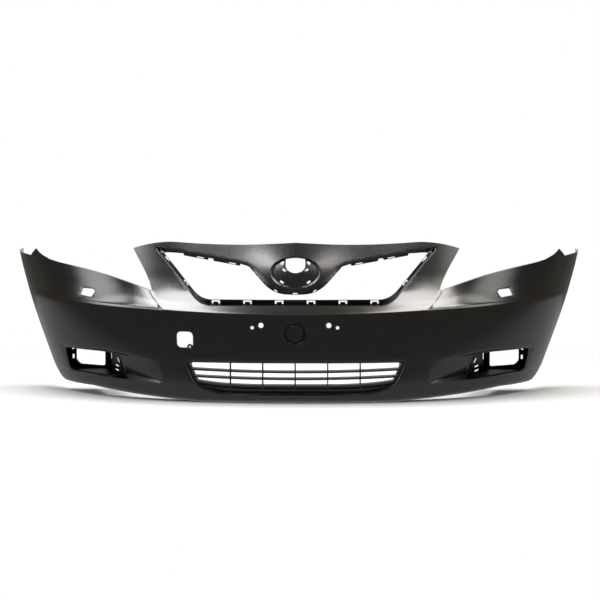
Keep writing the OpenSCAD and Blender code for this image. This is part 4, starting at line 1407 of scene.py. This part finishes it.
forms = formTree()
ribTop = intakeTop - grille["frameGap"] - grille["ribTuck"][1]
ribLow = grille["stripZ"] + grille["ribTuck"][0]
ribForm = boxForm(grille["ribThick"], grille["ribBack"] - grille["ribFront"], ribTop - ribLow,
                  grille["ribEdge"], "ribForm")
ribX = np.arange(-2, 3) * grille["ribPitch"]
ribY = intakeFront(ribX) + (grille["ribFront"] + grille["ribBack"]) / 2
ribPoints = np.stack([ribX, ribY, 0 * ribX + (ribLow + ribTop) / 2], axis=1)
grilleMeshes.append(grown("ribs", forms, ribPoints, [],
                          {"Form": ribForm, "Size": 1.0, "Material": insertPlastic}))
bpy.data.objects.remove(ribForm)
finishPiece("lowerGrille", grilleMeshes, insertPlastic, "lower_grille")


# screws: pan head with a cross recess, shank with a pointed end
def screwForm():
    r, h, t, bite = fixing["screwD"] / 2, fixing["headD"] / 2, fixing["headT"], fixing["bite"]
    profile = [(0, -bite), (0.5 * r, -bite), (r, -bite + fixing["screwTip"]), (r, 0), (h, 0)]
    profile += [(a * h, b * t) for a, b in fixing["headCurve"]] + [(0, t)]
    points, faces = lathe(profile, (0, 0), 28)
    mesh = bpy.data.meshes.new("screwForm")
    mesh.from_pydata((points * mm).tolist(), [], faces)
    form = newObject("screwForm", mesh)
    recess = bmesh.new()
    for w, d in (fixing["recess"], fixing["recess"][::-1]):
        made = bmesh.ops.create_cube(recess, size=1)
        for v in made["verts"]:
            narrow = fixing["recessTaper"] if v.co.y < 0 else 1
            v.co = (v.co.x * w * narrow * mm, (v.co.y * 2 + t + fixing["recessLift"]) * mm,
                    v.co.z * d * narrow * mm)
    tool = newObject("recess", meshFrom("recess", recess))
    cut = form.modifiers.new("recess", "BOOLEAN")
    cut.operation, cut.object, cut.solver, cut.use_self = "DIFFERENCE", tool, "EXACT", True
    made = evaluatedMesh(form)
    form.modifiers.clear()
    form.data = made
    bpy.data.objects.remove(tool)
    return form


screw = screwForm()
headSeat = flangeBack + fixing["headGap"]
grilleScrews = []
for x, z in grilleBosses:
    slope = abs(intakeFront(abs(x) + fixing["headD"] / 2) - intakeFront(x))
    grilleScrews.append([x, intakeFront(x) + headSeat + slope, z])
screwGroups = [("lowerGrilleScrews", "lower_grille_screws", grilleScrews)]
stand = fixing["bracketWall"] + fixing["headGap"]
for side, word in ((-1, "left"), (1, "right")):
    fogScrews = [[side * x, y + stand, z] for x, y, z in fogBosses]
    screwGroups.append(("fogBracketScrews." + word, "fog_bracket_screws_" + word, fogScrews))
for name, node, points in screwGroups:
    mesh = grown(name, forms, points, [], {"Form": screw, "Size": 1.0, "Material": zincSteel})
    finishPiece(name, [mesh], zincSteel, node, 30)
bpy.data.objects.remove(screw)

# fog brackets: the frame's own shape, its facets merged and its edges broken
bracket = {"merge": 0.02, "flatAngle": 1, "sharpAngle": 40, "edge": 0.5, "edgeCurve": 0.6}


def bracketMesh(node):
    whole = bmesh.new()
    whole.from_mesh(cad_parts[node].data)
    bmesh.ops.remove_doubles(whole, verts=whole.verts[:], dist=bracket["merge"] * mm)
    bmesh.ops.dissolve_limit(whole, angle_limit=math.radians(bracket["flatAngle"]),
                             verts=whole.verts[:], edges=whole.edges[:])
    limit = math.radians(bracket["sharpAngle"])
    sharp = [e for e in whole.edges if len(e.link_faces) == 2 and e.calc_face_angle(0) > limit]
    bmesh.ops.bevel(whole, geom=sharp, offset=bracket["edge"] * mm, segments=2, affect="EDGES",
                    profile=bracket["edgeCurve"], clamp_overlap=True)
    return meshFrom(node, whole)


for word in ("left", "right"):
    finishPiece("fogBracket." + word, [bracketMesh("fog_bracket_" + word)], bracketPlastic,
                "fog_bracket_" + word, 30)

# stage: pale floor that shows gloss a painted reflection, white surround and two soft lamps
# overhead
stage = {
    "floorSize": 40,
    "floorColour": (0.85, 0.85, 0.85),
    "white": (1, 1, 1),
    "whiteFrom": (0.7, 1.7),  # metres from the middle at which the floor runs out into plain white
    "paintedReflectionMiddle": (0, 0.85, 0),  # painted reflection: a pale glow that gloss alone sees on the floor under and behind the part
    "paintedReflectionHalf": (1.7, 1.22, 1),
    "paintedReflectionNear": (0.42, 0.42, 0.41),
    "paintedReflectionEnd": (0.95, 1.15),
    "fill": (0.3, 0.3, 0.3),
    # what gloss sees: a dim room ahead, warm dark sides and the white sweep behind
    "room": [(0.0, (0.17, 0.17, 0.155)), (0.35, (0.15, 0.145, 0.135)), (0.75, (0.17, 0.12, 0.08)),
             (0.93, (0.2, 0.15, 0.11)), (0.985, (1, 1, 1))],
    # painted reflection: the dim floor colour that gloss alone sees away from the part
    "paintedReflectionFar": (0.17, 0.16, 0.14),
    # soft glows in that room, by bearing from straight ahead, height and reach in degrees
    "glows": [
        {"bearing": -60, "height": 25, "reach": 21, "light": (4.4, 4.4, 4.4)},
        {"bearing": -73, "height": 48, "reach": 15, "light": (6.2, 6.25, 6.3)},
        {"bearing": 57, "height": 26, "reach": 20, "light": (2.9, 2.8, 2.65)},
        {"bearing": 68, "height": 50, "reach": 15, "light": (4.0, 3.9, 3.6)},
    ],
    # lamps in metres and watts, all turned to one spot on the part
    "lampAim": (0, -0.2, 0.3),
    "lampSize": (2.0, 0.85),
    "lamps": {
        "keyLeft": {"place": (-0.98, -0.2, 2.6), "power": 62, "colour": (0.97, 0.985, 1)},
        "keyRight": {"place": (0.98, -0.2, 2.6), "power": 54, "colour": (1, 0.97, 0.92)},
    },
}


def rayKinds(wire):
    path = wire.add("ShaderNodeLightPath").socket.node
    camera, gloss, through = [Wire(wire.tree, path.outputs["Is " + kind + " Ray"])
                              for kind in ("Camera", "Glossy", "Transmission")]
    return camera, wire.sum("MAXIMUM", gloss, through)


def vectorMaths(wire, operation, a, b=(0, 0, 0), out=0):
    return wire.add("ShaderNodeVectorMath", {"operation": operation}, {0: a, 1: b}, out=out)


floorMesh = bpy.data.meshes.new("floor")
edge = stage["floorSize"] / 2
floorMesh.from_pydata([(-edge, -edge, 0), (edge, -edge, 0), (edge, edge, 0), (-edge, edge, 0)], [],
                      [[0, 1, 2, 3]])
floor = newObject("floor", floorMesh)
floorPaint, wire = newMaterial("paleFloor")
place = wire.add("ShaderNodeTexCoord", out="Object")
camera, mirror = rayKinds(wire)
far = smooth(wire, vectorMaths(wire, "LENGTH", place, out="Value"), *stage["whiteFrom"])
around = vectorMaths(wire, "SUBTRACT", place, stage["paintedReflectionMiddle"])
around = vectorMaths(wire, "DIVIDE", around, stage["paintedReflectionHalf"])
off = smooth(wire, vectorMaths(wire, "LENGTH", around, out="Value"), *stage["paintedReflectionEnd"])
# for gloss the floor glows: a painted reflection, pale near the part and dim further out
paintedFloorReflection = mixed(wire, off, rgba(stage["paintedReflectionNear"]), rgba(stage["paintedReflectionFar"]))
shade = mixed(wire, mirror, rgba(stage["white"]), paintedFloorReflection)
matte = wire.add("ShaderNodeBsdfDiffuse", None, {"Color": rgba(stage["floorColour"])})
glow = wire.add("ShaderNodeEmission", None, {"Color": shade, "Strength": 1.0})
floorShader = wire.add("ShaderNodeMixShader", None,
                       {"Fac": wire.sum("MAXIMUM", camera * far, mirror), 1: matte, 2: glow})
floorMesh.materials.append(finishMaterial(floorPaint, wire, floorShader))

world = bpy.data.worlds.new("studio")
bpy.context.scene.world = world
world.use_nodes = True
world.node_tree.nodes.clear()
wire = Wire(world.node_tree)
camera, mirror = rayKinds(wire)
toward = wire.add("ShaderNodeTexCoord", out="Generated")
backward = wire.add("ShaderNodeSeparateXYZ", None, {"Vector": toward}, out="Y")
room = wire.add("ShaderNodeValToRGB", {"stops": [(t, rgba(c)) for t, c in stage["room"]]},
                {"Fac": backward * 0.5 + 0.5})
for glow in stage["glows"]:
    bearing, height, reach = [math.radians(glow[n]) for n in ("bearing", "height", "reach")]
    heading = (math.cos(height) * math.sin(bearing), -math.cos(height) * math.cos(bearing),
               math.sin(height))
    close = vectorMaths(wire, "DOT_PRODUCT", toward, heading, out="Value")
    share = smooth(wire, close, math.cos(reach), 1.0)
    room = mixed(wire, share, room, rgba(glow["light"]), "ADD")
lit = mixed(wire, mirror, rgba(stage["fill"]), room)
sky = mixed(wire, camera, lit, rgba(stage["white"]))
wire.add("ShaderNodeOutputWorld", None,
         {"Surface": wire.add("ShaderNodeBackground", None, {"Color": sky, "Strength": 1.0})})

for name, lamp in stage["lamps"].items():
    light = bpy.data.lights.new(name, "AREA")
    light.shape = "RECTANGLE"
    light.size, light.size_y = stage["lampSize"]
    light.energy = lamp["power"]
    light.color = lamp["colour"]
    softbox = newObject(name, light)
    softbox.location = lamp["place"]
    beam = Vector(stage["lampAim"]) - Vector(lamp["place"])
    softbox.rotation_euler = beam.to_track_quat("-Z", "Y").to_euler()
    softbox.visible_camera = False
print("stage set:", len(stage["lamps"]), "lamps,", len(stage["glows"]), "glows")

# camera at the photograph's viewing angle
lens = {
    "aim": (15, 0, 308),
    "distance": 5100,
    "rise": 4.5,
    "turn": 1.0,
    "focal": 105.57,
    "sensor": 36,
}
rise, turn = math.radians(lens["rise"]), math.radians(lens["turn"])
level = math.cos(rise)
forward = Vector((-math.sin(turn) * level, math.cos(turn) * level, -math.sin(rise)))
cameraData = bpy.data.cameras.new("camera")
cameraData.lens = lens["focal"]
cameraData.sensor_width = lens["sensor"]
cameraPiece = newObject("camera", cameraData)
cameraPiece.location = Vector(toFrame(lens["aim"])) - forward * lens["distance"] * mm
cameraPiece.rotation_euler = forward.to_track_quat("-Z", "Y").to_euler()
bpy.context.scene.camera = cameraPiece
bpy.context.scene.view_settings.view_transform = "Standard"
